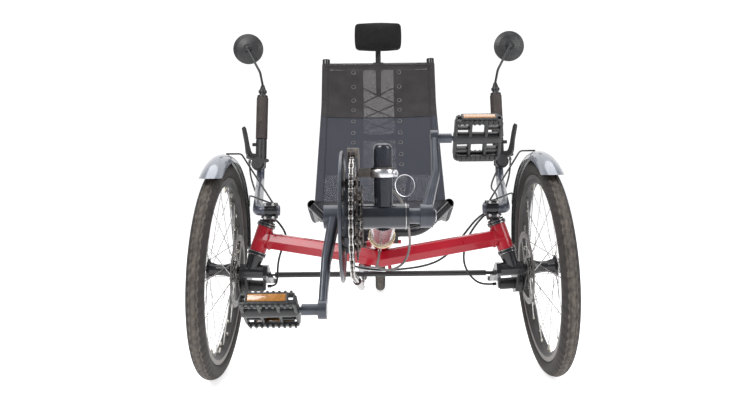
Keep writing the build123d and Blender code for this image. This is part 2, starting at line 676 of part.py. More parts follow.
def crank_arm(side, hub_x, direction):
    """Adds a tapered arm, its pedal eye and the pedal's spindle."""
    centre = at(0, BB_Y, BB_Z)
    # distance along the arm, distance from the trike's middle, width and thickness
    sections = (
        (8, hub_x, 30, 16),
        (CRANK_LENGTH / 2, CRANK_BOW_X, 27, 13),
        (CRANK_LENGTH - 8, CRANK_EYE_X, 23, 12),
    )
    faces = []
    for reach, x, width, thickness in sections:
        origin = centre + direction * reach + Vector(side * x, 0, 0)
        with BuildSketch(Plane(origin=origin, x_dir=(1, 0, 0), z_dir=direction)) as face:
            RectangleRounded(thickness, width, 5)
        faces.append(face.sketch)
    for near, far in zip(faces, faces[1:]):
        loft([near, far])
    eye = centre + direction * CRANK_LENGTH
    outward = Vector(side, 0, 0)
    rod(eye + outward * (CRANK_EYE_X - 6), eye + outward * (CRANK_EYE_X + 6), 13.5)
    rod(eye + outward * (CRANK_EYE_X + 6), eye + outward * (PEDAL_FROM - 3), 8)
    rod(eye + outward * (PEDAL_FROM - 3), eye + outward * (PEDAL_TO - 6), PEDAL_SPINDLE_R)


crank_turn = radians(CRANK_ANGLE)
right_direction = Vector(0, -sin(crank_turn), -cos(crank_turn))
with BuildPart() as crank_right:
    ring(bb, SPINDLE_R, 0, -60, 74)
    ring(bb, 18, 0, -90, CHAIN_X - 1.6)
    crank_arm(-1, 75, right_direction)
    with BuildSketch(bb.offset(CHAIN_X - 12)):
        with PolarLocations(BOLT_CIRCLE_R / 2, 5):
            Rectangle(BOLT_CIRCLE_R + 12, 16)
        with PolarLocations(BOLT_CIRCLE_R, 5):
            Circle(5, mode=Mode.SUBTRACT)
    extrude(amount=10.4)
save(crank_right, "crank_right")

with BuildPart() as crank_left:
    crank_arm(1, 66, -right_direction)
    ring(bb, 18, 0, 56, 75)
    ring(bb, SPINDLE_R + 0.03, 0, 40, 74.1, mode=Mode.SUBTRACT)
    ring(bb, 12, 0, 74.5, 78)
save(crank_left, "crank_left")

with BuildPart() as chainrings:
    for teeth, x, inner in zip(RING_TEETH, RING_X, RING_INNER_R):
        pitch_r = CHAIN_PITCH / (2 * sin(pi / teeth))
        with BuildSketch(bb.offset(x - 1.5)):
            Circle(pitch_r - CHAIN_HALF_HEIGHT - 0.5)
            Circle(inner, mode=Mode.SUBTRACT)
        extrude(amount=3)
    # spacers that carry the smallest ring on the middle one
    with BuildSketch(bb.offset(RING_X[1])):
        with PolarLocations(SPACER_CIRCLE_R, 5, start_angle=36):
            Circle(4)
    extrude(amount=RING_X[2] - RING_X[1])
    with BuildSketch(bb.offset(CHAIN_X - 18)):
        Circle(GUARD_R)
        Circle(44, mode=Mode.SUBTRACT)
    extrude(amount=4)
    # bolts through the guard, the arms of the right crank and the two larger rings
    with BuildSketch(bb.offset(CHAIN_X - 20)):
        with PolarLocations(BOLT_CIRCLE_R, 5):
            Circle(4.95)
    extrude(amount=31)
save(chainrings, "chainrings")


def make_pedal(side, direction, tilt):
    """A flat pedal whose front edge is tilted up by this many degrees."""
    spindle = at(0, BB_Y, BB_Z) + direction * CRANK_LENGTH
    middle = spindle + Vector(side * (PEDAL_FROM + PEDAL_TO) / 2, 0, 0)
    turn = radians(tilt)
    tread = Plane(origin=middle, x_dir=(1, 0, 0), z_dir=(0, sin(turn), cos(turn)))
    with BuildPart() as pedal:
        with BuildSketch(tread.offset(-12)):
            RectangleRounded(PEDAL_TO - PEDAL_FROM, 86, 16)
            with Locations((0, 23), (0, -23)):
                RectangleRounded(52, 20, 4, mode=Mode.SUBTRACT)
        extrude(amount=24)
        rod(
            spindle + Vector(side * (PEDAL_FROM - 5), 0, 0),
            spindle + Vector(side * (PEDAL_TO - 5.5), 0, 0),
            PEDAL_SPINDLE_R + RUNNING_GAP,
            mode=Mode.SUBTRACT,
        )
    return pedal


save(make_pedal(-1, right_direction, 35), "pedal_right")
save(make_pedal(1, -right_direction, 55), "pedal_left")

# ---------------------------------------------------------------- chain line
# Each wheel that the chain bends around: centre behind the front axle and above the ground,
# pitch radius, and +1 where the chain passes over it or -1 where it passes the other way.
cog_r = CHAIN_PITCH / (2 * sin(pi / COG_TEETH))
idler_r = CHAIN_PITCH / (2 * sin(pi / IDLER_TEETH))
pulley_r = CHAIN_PITCH / (2 * sin(pi / PULLEY_TEETH))
big_ring_r = CHAIN_PITCH / (2 * sin(pi / RING_TEETH[0]))
GUIDE_PULLEY = (1080.0, 181.0)
TENSION_PULLEY = (1052.0, 128.0)
SLACK_BEND = (150.0, 880.0, 700.0)
chain_line = (
    ((BB_Y, BB_Z), big_ring_r, 1),
    (IDLER_AT, idler_r, -1),
    ((WHEELBASE, TYRE_R), cog_r, 1),
    (GUIDE_PULLEY, pulley_r, -1),
    (TENSION_PULLEY, pulley_r, 1),
    (SLACK_BEND[:2], SLACK_BEND[2], 1),
)


def tangent_run(first, second, shift):
    """Both ends of the straight run between two of the chain's wheels, shifted outward."""
    (y1, z1), r1, way1 = first
    (y2, z2), r2, way2 = second
    reach1, reach2 = way1 * r1 + shift, way2 * r2 + shift
    heading = atan2(z2 - z1, y2 - y1) - asin((reach1 - reach2) / hypot(y2 - y1, z2 - z1))
    normal = Vector(-sin(heading), cos(heading))
    return Vector(y1, z1) + normal * reach1, Vector(y2, z2) + normal * reach2


def chain_loop(shift):
    """Adds the chain's closed outline, moved outward from its pitch line, to a sketch."""
    count = len(chain_line)
    runs = [tangent_run(chain_line[i], chain_line[(i + 1) % count], shift) for i in range(count)]
    with BuildLine() as loop:
        for i, (centre, radius, way) in enumerate(chain_line):
            arrive, leave = runs[i - 1][1], runs[i][0]
            middle = Vector(*centre)
            first = atan2(arrive.Y - middle.Y, arrive.X - middle.X)
            last = atan2(leave.Y - middle.Y, leave.X - middle.X)
            swept = (way * (first - last)) % (2 * pi)
            half = first - way * swept / 2
            reach = abs(radius + way * shift)
            top = middle + Vector(cos(half), sin(half)) * reach
            ThreePointArc(arrive, top, leave)
            Line(*runs[i])
    return make_face(loop.line, mode=Mode.PRIVATE)


with BuildPart() as chain:
    with BuildSketch(sideways.offset(CHAIN_X - CHAIN_HALF_WIDTH)):
        add(chain_loop(CHAIN_HALF_HEIGHT))
        add(chain_loop(-CHAIN_HALF_HEIGHT), mode=Mode.SUBTRACT)
    extrude(amount=2 * CHAIN_HALF_WIDTH)
save(chain, "chain")

# chain tubes on the slack run, ahead of and behind the tie rod, and the idler's bolt
slack_rear, slack_bend_rear = tangent_run(chain_line[4], chain_line[5], 0)
slack_bend_front, slack_front = tangent_run(chain_line[5], chain_line[0], 0)


def along(start, end, y):
    """The point of a chain run at this distance behind the front axle."""
    share = (y - start.X) / (end.X - start.X)
    return at(CHAIN_X, y, start.Y + share * (end.Y - start.Y))


TUBE_R = 7.5
TUBE_BORE_R = 5.8
with BuildPart() as chain_tubes:
    for run, ends in (
        ((slack_bend_front, slack_front), (-300, 30)),
        ((slack_rear, slack_bend_rear), (330, 820)),
    ):
        rod(along(*run, ends[0]), along(*run, ends[1]), TUBE_R)
        rod(along(*run, ends[0]), along(*run, ends[1]), TUBE_BORE_R, mode=Mode.SUBTRACT)
    rod(at(-36, *IDLER_AT), at(-41, *IDLER_AT), 8)
    rod(at(-36, *IDLER_AT), at(-56, *IDLER_AT), 4)
    rod(at(-51.5, *IDLER_AT), at(-56, *IDLER_AT), 8)
save(chain_tubes, "chain_tubes")

with BuildPart() as idler:
    rod(at(-41.5, *IDLER_AT), at(-51, *IDLER_AT), idler_r - CHAIN_HALF_HEIGHT - 0.5)
    rod(at(-36, *IDLER_AT), at(-56, *IDLER_AT), 4 + RUNNING_GAP, mode=Mode.SUBTRACT)
save(idler, "idler_pulley")

# ---------------------------------------------------------------- rear wheel
save(make_tyre(rear_hub_frame), "rear_tyre")
save(make_rim(rear_hub_frame), "rear_rim")

REAR_FLANGE_X = 22.0
with BuildPart() as rear_spokes:
    add_spokes(rear_hub_frame, HUB_FLANGE_R, REAR_FLANGE_X)
save(rear_spokes, "rear_spokes")

with BuildPart() as rear_hub:
    with BuildSketch(section(rear_hub_frame)):
        Polygon(
            (-24.5, REAR_AXLE_R + RUNNING_GAP),
            (-24.5, 16),
            (-REAR_FLANGE_X - 1.6, 16),
            (-REAR_FLANGE_X - 1.6, HUB_FLANGE_R),
            (1.6 - REAR_FLANGE_X, HUB_FLANGE_R),
            (-17, 15),
            (17, 15),
            (REAR_FLANGE_X - 1.6, HUB_FLANGE_R),
            (REAR_FLANGE_X + 1.6, HUB_FLANGE_R),
            (25, 16),
            (60, 12),
            (60, REAR_AXLE_R + RUNNING_GAP),
            align=None,
        )
    revolve(axis=Axis(rear_hub_frame.origin, rear_hub_frame.x_dir))
save(rear_hub, "rear_hub")

COG_SET = ((12, -55.6), (14, -50.8), (16, -46.0), (18, -41.2), (21, -36.4), (24, -31.6), (28, -26.8))
rear_across = across(rear_hub_frame)
with BuildPart() as cassette:
    ring(rear_across, 16, 0, -59, -25.6)
    for teeth, x in COG_SET:
        pitch_r = CHAIN_PITCH / (2 * sin(pi / teeth))
        disc_r = pitch_r - CHAIN_HALF_HEIGHT - 0.5 if teeth == COG_TEETH else pitch_r + 1.5
        ring(rear_across, disc_r, 0, x - 0.9, x + 0.9)
    ring(rear_across, REAR_AXLE_R + RUNNING_GAP, 0, -62, -22, mode=Mode.SUBTRACT)
save(cassette, "cassette")

# ---------------------------------------------------------------- derailleurs
with BuildPart() as rear_derailleur:
    for x in (CHAIN_X - 8, CHAIN_X + 5):
        with BuildSketch(sideways.offset(x)):
            with BuildLine():
                Line(GUIDE_PULLEY, TENSION_PULLEY)
            trace(line_width=15)
            with Locations(GUIDE_PULLEY, TENSION_PULLEY):
                Circle(7.5)
        extrude(amount=3)
    for y, z in (GUIDE_PULLEY, TENSION_PULLEY):
        rod(at(CHAIN_X - 6, y, z), at(CHAIN_X + 6, y, z), 3)
        rod(at(CHAIN_X - 2, y, z), at(CHAIN_X + 2, y, z), pulley_r - CHAIN_HALF_HEIGHT - 0.5)
    # knuckles and linkage, outside the cage
    rod(at(CHAIN_X - 8, *GUIDE_PULLEY), at(CHAIN_X - 30, *GUIDE_PULLEY), 12)
    rod(at(-73.6, 1086, 206), at(-90, 1086, 206), 10)
    linkage = [(1074, 176), (1092, 176), (1097, 208), (1076, 208)]
    plate(sideways.offset(-88), linkage, 14, corner=3)
save(rear_derailleur, "rear_derailleur")

CLAMP_Z = (445.0, 459.6)
CAGE_FRONT = -0.17  # slopes of the cage's front and rear ends, from straight up
CAGE_REAR = 0.48
with BuildPart() as front_derailleur:
    post_axis = Plane(origin=at(0, BB_Y, 0))
    ring(post_axis, 18.5, POST_R + 0.05, *CLAMP_Z)
    block(at(-26.1, BB_Y + 6, 452), (22.2, 22, 13))
    ring(post_axis, POST_R + 0.05, 0, 430, 470, mode=Mode.SUBTRACT)
    # cage plates either side of the chain, joined above it
    for x, thickness, low, high in (
        (CHAIN_X - 7, 1.6, 76, 104), (CHAIN_X + 8.4, 1.6, 70, 104), (CHAIN_X - 7, 17, 99, 104)
    ):
        with BuildSketch(bb.offset(x)):
            Circle(high)
            Circle(low, mode=Mode.SUBTRACT)
            wedge = [(0, 0), (3 * high * CAGE_FRONT, 3 * high), (3 * high * CAGE_REAR, 3 * high)]
            Polygon(*wedge, align=None, mode=Mode.INTERSECT)
        extrude(amount=thickness)
save(front_derailleur, "front_derailleur")

# ---------------------------------------------------------------- clamp lever under the main tube
lever_bolt = Plane(
    origin=at(GUIDE_BOSS[0], GUIDE_BOSS[1] - 4.3, GUIDE_BOSS[2]), x_dir=(1, 0, 0), z_dir=(0, -1, 0)
)
with BuildPart() as clamp_lever:
    ring(lever_bolt, 8.5, 0, 0, 7)
    plate(lever_bolt, [(4, 5), (30, 3), (55, -3), (55, -9), (28, -7), (4, -6)], 6, corner=1.5)
save(clamp_lever, "clamp_lever")

# ---------------------------------------------------------------- seat
def seat_x(z):
    """Half width of the seat between its side rails' centres, at this height of the back."""
    low, high = SEAT_PROFILE[2][1], SEAT_PROFILE[-1][1]
    share = max(0.0, (z - low) / (high - low))
    return SEAT_HALF_WIDTH + share * (SEAT_TOP_HALF_WIDTH - SEAT_HALF_WIDTH)


POST_AT_Y = 845.0
HEADREST_POST_R = 9.0
CLAMP_MIDDLE_Z = 797.0
with BuildPart() as seat_frame:
    for side in (-1, 1):
        rail = [at(side * seat_x(z), y, z) for y, z in SEAT_PROFILE]
        bent_rod(rail, SEAT_BENDS, SEAT_TUBE_R, SEAT_TUBE_R - 2)
    # front edge: a tube that hangs in a bow between the rails' front ends
    bow = (at(180, 290, 364), at(105, 296, 289), at(-105, 296, 289), at(-180, 290, 364))
    bent_rod(bow, 80, SEAT_TUBE_R)
    # bowed cross tubes under the seat, behind the back and near its top
    for outer, inner, bend, radius in (
        ((180, 470, 318), (60, 470, 283), 60, SEAT_TUBE_R - 1.7),
        ((175, 692, 567), (110, 730, 556), 50, SEAT_TUBE_R - 3),
        ((172, 792, 795), (110, 822, 795), 60, SEAT_TUBE_R - 3),
    ):
        half = [outer, inner]
        other_half = [(-x, y, z) for x, y, z in reversed(half)]
        bent_rod([at(*point) for point in half + other_half], bend, radius)
    # struts from the back down to bosses on the dropouts
    for side in (-1, 1):
        rod(at(side * 120, 728, 558), at(side * 84, *STRUT_FOOT), 7)
        rod(at(side * 73.5, *STRUT_FOOT), at(side * 92, *STRUT_FOOT), 7.5)
    # lugs of the front bow round the frame's cross bar, and a saddle on the main tube
    for side in (-1, 1):
        block(at(side * 40, 293, 273), (10, 18, 26))
    rod(at(-60, *SEAT_BAR), at(60, *SEAT_BAR), SEAT_BAR_R, mode=Mode.SUBTRACT)
    block(at(0, 470, 268), (34, 24, 14))
    rod(at(0, 440, LEVEL_Z), at(0, 500, LEVEL_Z), MAIN_TUBE_R, mode=Mode.SUBTRACT)
    # clamp of the headrest's post
    block(at(0, POST_AT_Y - 6, CLAMP_MIDDLE_Z), (34, 42, 26))
    post_line = Plane(origin=at(0, POST_AT_Y, 0))
    ring(post_line, HEADREST_POST_R + RUNNING_GAP, 0, 700, 900, mode=Mode.SUBTRACT)
save(seat_frame, "seat_frame")

with BuildPart() as seat_fabric:
    with BuildSketch(Plane.YZ):
        with BuildLine():
            FilletPolyline(*[(FRONT_AXLE_Y + y, z) for y, z in SEAT_PROFILE], radius=SEAT_BENDS)
            offset(amount=FABRIC_OFFSET, side=Side.LEFT, closed=False, mode=Mode.REPLACE)
        trace(line_width=FABRIC_THICKNESS)
    extrude(amount=SEAT_HALF_WIDTH + 10, both=True)
save(seat_fabric, "seat_fabric")

HEADREST_SIZE = (155.0, 44.0, 87.0)
HEADREST_CENTRE = (0.0, 805.0, 892.0)
with BuildPart() as headrest_post:
    ring(post_line, HEADREST_POST_R, 0, 700, 915)
    block(at(0, 832.8, 892), (70, 11, 46))
save(headrest_post, "headrest_post")

with BuildPart() as headrest:
    block(at(*HEADREST_CENTRE), HEADREST_SIZE)
    fillet(headrest.edges().filter_by(Axis.Y), 26)
    fillet(headrest.edges(), 13)
save(headrest, "headrest")

# ---------------------------------------------------------------- control cables
CABLE_R = 2.5
front_axle = at(0, 0, 0)
perch_exit = lever_plane.from_local_coords(Vector(38, -64.5, 0)) - front_axle
perch_bend = lever_plane.from_local_coords(Vector(38, -100, 0)) - front_axle
pod_exit = controls.from_local_coords(Vector(-5.5, -20.5, -92)) - front_axle
pod_bend = controls.from_local_coords(Vector(-19, -20.5, -116)) - front_axle
BRAKE_RUN = ((338, 350, 397), (314, 250, 388), (302, 160, 376), (286, 90, 362))
CABLE_ROUTES = (
    # left brake: perch, along the bar, a loop behind the cross member, caliper
    (
        tuple(perch_exit), tuple(perch_bend), *BRAKE_RUN, (243, 58, 358), (202, 54, 310),
        (187, 56, 265), (190, 60, 229), (211, 60, 198), (236, 60, 187), (263, 56, 190),
    ),
    # right brake
    (
        (-perch_exit.X, perch_exit.Y, perch_exit.Z), (-perch_bend.X, perch_bend.Y, perch_bend.Z),
        *[(-x, y, z) for x, y, z in BRAKE_RUN], (-243, 58, 348), (-213, 58, 304), (-232, 64, 270),
        (-240, 64, 236), (-240, 62, 204), (-246, 59, 189), (-263, 56, 190),
    ),
    # left shifter to the rear derailleur: under the main tube, then along the right chainstay
    (
        tuple(pod_exit), tuple(pod_bend), (300, 368, 400), (303, 300, 391), (294, 220, 378), (280, 130, 362),
        (226, 76, 346), (186, 60, 300), (155, 44, 262), (108, 36, 236), (20, 36, 226), (-30, 38, 229),
        (-68, 46, 236), (-66, 110, 236), (-62, 170, 228), (-36, 260, 216), (-20, 340, 213), (-20, 700, 213),
        (-58, 820, 206), (-92, 960, 204), (-100, 1060, 200), (-97, 1110, 190), (-82, 1120, 172),
    ),
    # front derailleur's cable: a loop from the post round to the stop on the main tube
    (
        (-14, -440, 438), (20, -428, 425), (40, -370, 385), (50, -230, 345), (56, -160, 305), (46, -138, 266),
        (16, -132, 250), (-12, -140, 258), (-7, -134, 276), (-5, -113, 290.8), (-5, -104.4, 289.27),
    ),
)


def corner_radii(points, share=0.42):
    """The largest even arcs that fit a route's corners."""
    radii = []
    for before, corner, after in zip(points, points[1:], points[2:]):
        run = min((corner - before).length, (after - corner).length)
        half_turn = radians((corner - before).get_angle(after - corner)) / 2
        radii.append(share * run / tan(half_turn))
    return radii


with BuildPart() as cables:
    for route in CABLE_ROUTES:
        points = [at(*point) for point in route]
        bent_rod(points, corner_radii(points), CABLE_R)
save(cables, "cables")
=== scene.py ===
"""Looks for the recumbent tricycle: tread, spokes' nipples, chain, teeth, mesh seat, pads, cables."""

from math import acos, asin, atan2, cos, hypot, pi, radians, sin, tan

import bmesh
import bpy
from mathutils import Matrix, Vector


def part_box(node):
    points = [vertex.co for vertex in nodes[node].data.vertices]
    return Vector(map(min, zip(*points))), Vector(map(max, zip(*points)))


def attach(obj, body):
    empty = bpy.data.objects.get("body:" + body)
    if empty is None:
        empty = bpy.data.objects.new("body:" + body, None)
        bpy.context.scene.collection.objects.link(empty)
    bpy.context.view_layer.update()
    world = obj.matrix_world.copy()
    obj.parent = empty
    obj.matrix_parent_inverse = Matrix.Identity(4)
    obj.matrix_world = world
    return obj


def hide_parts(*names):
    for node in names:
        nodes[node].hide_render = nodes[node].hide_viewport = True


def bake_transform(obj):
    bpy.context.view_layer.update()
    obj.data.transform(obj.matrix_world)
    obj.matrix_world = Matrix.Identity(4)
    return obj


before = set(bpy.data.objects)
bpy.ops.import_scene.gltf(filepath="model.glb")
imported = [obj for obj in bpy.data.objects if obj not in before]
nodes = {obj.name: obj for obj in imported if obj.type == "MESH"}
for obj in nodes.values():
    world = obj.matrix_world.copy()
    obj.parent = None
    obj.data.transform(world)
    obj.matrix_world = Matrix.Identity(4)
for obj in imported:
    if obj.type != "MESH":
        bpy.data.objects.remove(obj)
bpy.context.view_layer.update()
scene = bpy.context.scene

# driving sizes, in metres
FRONT_AXLE_Y = -0.334
HALF_TRACK = 0.357
TYRE_R, SECTION_R = 0.237, 0.018
SPOKES = 28
CAMBER = radians(3)
FRONT_Z = (TYRE_R - SECTION_R) * cos(CAMBER) + SECTION_R
PITCH = 0.0127
CRANK_LENGTH = 0.158
PEDAL_OUT = 0.158
RAIL_R = 0.0127
CLOTH_LIFT = 0.0011  # middle of the cloth above the rail's surface
SAG = 0.010
SIDES = (("left", 1), ("right", -1))


def at(x, y, z):
    """A point in metres from millimetres, y counted back from the front axle."""
    return Vector((x / 1000, FRONT_AXLE_Y + y / 1000, z / 1000))


def axes(origin, x_dir, z_dir):
    """Matrix of a local frame: its z runs along z_dir, its x as near x_dir as that allows."""
    z = Vector(z_dir).normalized()
    x = Vector(x_dir)
    x = (x - x.dot(z) * z).normalized()
    y = z.cross(x)
    rows = Matrix((x, y, z)).transposed().to_4x4()
    rows.translation = origin
    return rows


def polar(r, angle, height=0.0):
    """A point about the z axis."""
    return Vector((r * cos(angle), r * sin(angle), height))


def linked(name, data):
    """A new object in the scene."""
    obj = bpy.data.objects.new(name, data)
    scene.collection.objects.link(obj)
    return obj


BB, IDLER, REAR_AXLE = at(0, -478, 385.72), at(0, 200, 268), at(0, 1070, 237)


def axle_axes(centre):
    """Matrix of a local frame whose z runs across the trike, to the left."""
    return axes(centre, (0, 1, 0), (1, 0, 0))


# ------------------------ materials
def node(tree, kind, inputs=(), operation=None):
    """A new shader node; each input gets a link from a socket or else a constant."""
    made = tree.nodes.new("ShaderNode" + kind)
    if operation:
        made.operation = operation
    for key, value in dict(inputs).items():
        if isinstance(value, bpy.types.NodeSocket):
            tree.links.new(value, made.inputs[key])
        else:
            made.inputs[key].default_value = value
    return made


def calc(tree, operation, first, second=0.5):
    """The result of one operation on two numbers."""
    return node(tree, "Math", {0: first, 1: second}, operation).outputs["Value"]


def relief(tree, height, strength, distance):
    """Roughens the material's surface by a height pattern."""
    bump = node(tree, "Bump", {"Strength": strength, "Distance": distance, "Height": height})
    tree.links.new(bump.outputs["Normal"], tree.nodes["Principled BSDF"].inputs["Normal"])


def tinted(tree, share, other):
    """The material's mottled colour, mixed with another colour by a share from 0 to 1."""
    mottled = next(n for n in tree.nodes if n.bl_idname == "ShaderNodeValToRGB").outputs["Color"]
    mix = tree.nodes.new("ShaderNodeMix")
    mix.data_type = "RGBA"
    mix.inputs["B"].default_value = (*other, 1)
    tree.links.new(share, mix.inputs["Factor"])
    tree.links.new(mottled, mix.inputs["A"])
    return mix.outputs["Result"]


def material(name, color, rough=0.4, metal=0.0, vary=0.15, scale=40.0, bump=0.0, bump_scale=600.0,
             coat=0.0, sheen=0.0, specular=0.5):
    """Noise-mottled surface with uneven roughness and a fine bump."""
    made = bpy.data.materials.new(name)
    made.use_nodes = True
    tree = made.node_tree
    shader = tree.nodes["Principled BSDF"]
    for socket, value in (("Metallic", metal), ("Coat Weight", coat), ("Coat Roughness", 0.05),
                          ("Sheen Weight", sheen), ("Specular IOR Level", specular)):
        shader.inputs[socket].default_value = value
    place = node(tree, "TexCoord").outputs["Object"]
    mottle = node(tree, "TexNoise", {"Scale": scale, "Detail": 6.0, "Vector": place}).outputs["Fac"]
    ramp = node(tree, "ValToRGB", {"Fac": mottle})
    for stop, position, factor in zip(ramp.color_ramp.elements, (0.3, 0.72), (1 - vary, 1 + vary)):
        stop.position = position
        stop.color = [min(1, c * factor) for c in color] + [1]
    tree.links.new(ramp.outputs["Color"], shader.inputs["Base Color"])
    ends = {"To Min": max(0.02, rough - 0.08), "To Max": min(1.0, rough + 0.1)}
    spread = node(tree, "MapRange", {"Value": mottle, **ends})
    tree.links.new(spread.outputs["Result"], shader.inputs["Roughness"])
    if bump:
        fine = node(tree, "TexNoise", {"Scale": bump_scale, "Detail": 3.0, "Vector": place})
        relief(tree, fine.outputs["Fac"], bump, 0.0006)
    return made


def mesh_cloth(name, upper, lower, seam):
    """Open woven mesh: two yarn directions with holes between them, and a second colour below a seam."""
    made = material(name, upper, rough=0.72, vary=0.3, scale=25, sheen=0.05, specular=0.3)
    tree = made.node_tree
    shader = tree.nodes["Principled BSDF"]
    plan = node(tree, "SeparateXYZ", {"Vector": node(tree, "UVMap").outputs["UV"]})
    # the lower part of the seat is doubled: it looks bluer and has smaller holes
    low = calc(tree, "LESS_THAN", plan.outputs["Y"], seam)
    # yarns 2.2 mm apart each way
    waves = [calc(tree, "MULTIPLY", plan.outputs[axis], 2 * pi / 0.0022) for axis in ("X", "Y")]
    weave = [calc(tree, "SINE", wave) for wave in waves]
    yarn = calc(tree, "MAXIMUM", *weave)
    shade = node(tree, "MapRange", {"Value": yarn, "From Min": -1.0, "To Min": 0.55, "To Max": 1.15})
    colour = {0: tinted(tree, low, lower), "Scale": shade.outputs["Result"]}
    darken = node(tree, "VectorMath", colour, "SCALE")
    tree.links.new(darken.outputs["Vector"], shader.inputs["Base Color"])
    edge = node(tree, "MapRange", {"Value": low, "To Min": -0.58, "To Max": -0.85})
    hole = calc(tree, "GREATER_THAN", yarn, edge.outputs["Result"])
    tree.links.new(hole, shader.inputs["Alpha"])
    relief(tree, yarn, 0.4, 0.0004)
    return made


RED = material("crimson_gloss", (0.33, 0.003, 0.014), rough=0.28, vary=0.12, scale=18, coat=0.45,
               specular=0.35)
BLACK_GLOSS = material("black_gloss", (0.011, 0.011, 0.013), rough=0.24, vary=0.3, coat=0.35, specular=0.35)
BLUE_BLACK = material("blue_black_gloss", (0.013, 0.015, 0.023), rough=0.24, vary=0.3, coat=0.5, specular=0.4)
BLACK_SATIN = material("black_satin", (0.018, 0.017, 0.018), rough=0.42, vary=0.3, bump=0.1)
CRANK = material("crank_anodised", (0.055, 0.06, 0.074), rough=0.36, vary=0.2, coat=0.3, metal=0.6, bump=0.05)
ALLOY = material("satin_alloy", (0.62, 0.62, 0.64), rough=0.28, metal=1.0, vary=0.12, bump=0.06)
SILVER_BAR = material("silver_grey_gloss", (0.07, 0.075, 0.1), rough=0.34, metal=0.4, vary=0.2, coat=0.4)
RIM = material("rim_black", (0.022, 0.02, 0.019), rough=0.45, vary=0.35, scale=90, bump=0.1)
STEEL = material("bright_steel", (0.56, 0.55, 0.54), rough=0.24, metal=1.0, vary=0.25, scale=120, bump=0.08)
DARK_STEEL = material("dark_steel", (0.13, 0.115, 0.105), rough=0.36, metal=1.0, vary=0.4,
                      scale=160, bump=0.15)
BRUSHED = material("brushed_steel", (0.2, 0.19, 0.185), rough=0.42, metal=1.0, vary=0.25,
                   scale=300, bump=0.3, bump_scale=1500)
FENDER_BLUE_GREY = (0.2, 0.215, 0.25)
# painted light: a paler rubber colour for the lit outer face of the tread
TREAD_PAINTED_LIGHT = material("tread_painted_light", (0.085, 0.071, 0.06), rough=0.75, vary=0.5, scale=110,
                      bump=0.5, bump_scale=900)
TYRE = material("tyre_rubber", (0.026, 0.021, 0.019), rough=0.72, vary=0.45, scale=70, bump=0.5,
                bump_scale=900)
RUBBER = material("grip_rubber", (0.033, 0.024, 0.021), rough=0.62, vary=0.35, bump=0.4, bump_scale=1200)
HOUSING = material("cable_housing", (0.012, 0.012, 0.013), rough=0.34, vary=0.2, bump=0.1)
GREY_HOUSING = material("grey_cable_housing", (0.12, 0.11, 0.105), rough=0.38, vary=0.3, bump=0.1)
PLASTIC = material("black_plastic", (0.02, 0.02, 0.021), rough=0.4, vary=0.25, bump=0.2, bump_scale=1500)
ORANGE = material("reflector_orange", (0.36, 0.15, 0.03), rough=0.18, vary=0.3, scale=300,
                  coat=1.0, bump=0.5, bump_scale=500)
BROWN_TUBE = material("brown_tube", (0.06, 0.035, 0.026), rough=0.3, vary=0.3, coat=0.4)
FOAM_COVER = material("stretch_cover", (0.009, 0.008, 0.008), rough=0.9, vary=0.35, scale=90,
                      bump=0.7, bump_scale=1800, sheen=0.05, specular=0.25)
MIRROR_GLASS = material("mirror_glass", (0.86, 0.87, 0.88), rough=0.04, metal=1.0, vary=0.02)
CREAM_RING = material("bare_collar", (0.62, 0.5, 0.33), rough=0.26, metal=0.8, vary=0.2, scale=90)
BRASS = material("nipple_brass", (0.6, 0.57, 0.5), rough=0.25, metal=1.0, vary=0.15)
LACE = material("lacing_cord", (0.008, 0.008, 0.009), rough=0.8, vary=0.3, bump=0.5, bump_scale=1400)
MESH_CLOTH = mesh_cloth("seat_mesh", (0.034, 0.03, 0.031), (0.038, 0.04, 0.053), 0.585)
HEM = material("seat_hem", (0.022, 0.021, 0.024), rough=0.75, vary=0.25, scale=120, bump=0.6,
               bump_scale=1400, sheen=0.05)
FLOOR = material("pale_floor", (0.86, 0.86, 0.86), rough=0.75, vary=0.01, scale=3)
FLOOR.node_tree.nodes["Principled BSDF"].inputs["Emission Color"].default_value = (1, 1, 1, 1)
FLOOR.node_tree.nodes["Principled BSDF"].inputs["Emission Strength"].default_value = 0.62

# every carried-over CAD node gets its finish
FINISHES = {
    RED: ("main_frame", "cross_member"),
    BLUE_BLACK: ("boom", "bottom_bracket"),
    BLACK_GLOSS: ("front_hub", "rear_hub", "headset_cups", "steering_knuckle", "stem", "seat_frame"),
    RIM: ("front_rim", "rear_rim"),
    BLACK_SATIN: ("tie_rod", "tie_rod_end", "brake_lever", "control_pod", "shift_lever", "headrest_post",
                  "brake_caliper"),
    PLASTIC: ("mirror", "mirror_arm", "idler_pulley"),
    CRANK: ("crank_right", "crank_left"),
    SILVER_BAR: ("handlebar",),
    BRUSHED: ("brake_rotor",),
    STEEL: ("front_spokes", "rear_spokes"),
    DARK_STEEL: ("front_derailleur",),
    ALLOY: ("rear_derailleur", "clamp_lever"),
    BROWN_TUBE: ("chain_tubes",),
    RUBBER: ("grip",),
}
for finish, names in FINISHES.items():
    for name in names:
        for label in (name, name + "_left", name + "_right"):
            if label in nodes:
                nodes[label].data.materials.clear()
                nodes[label].data.materials.append(finish)


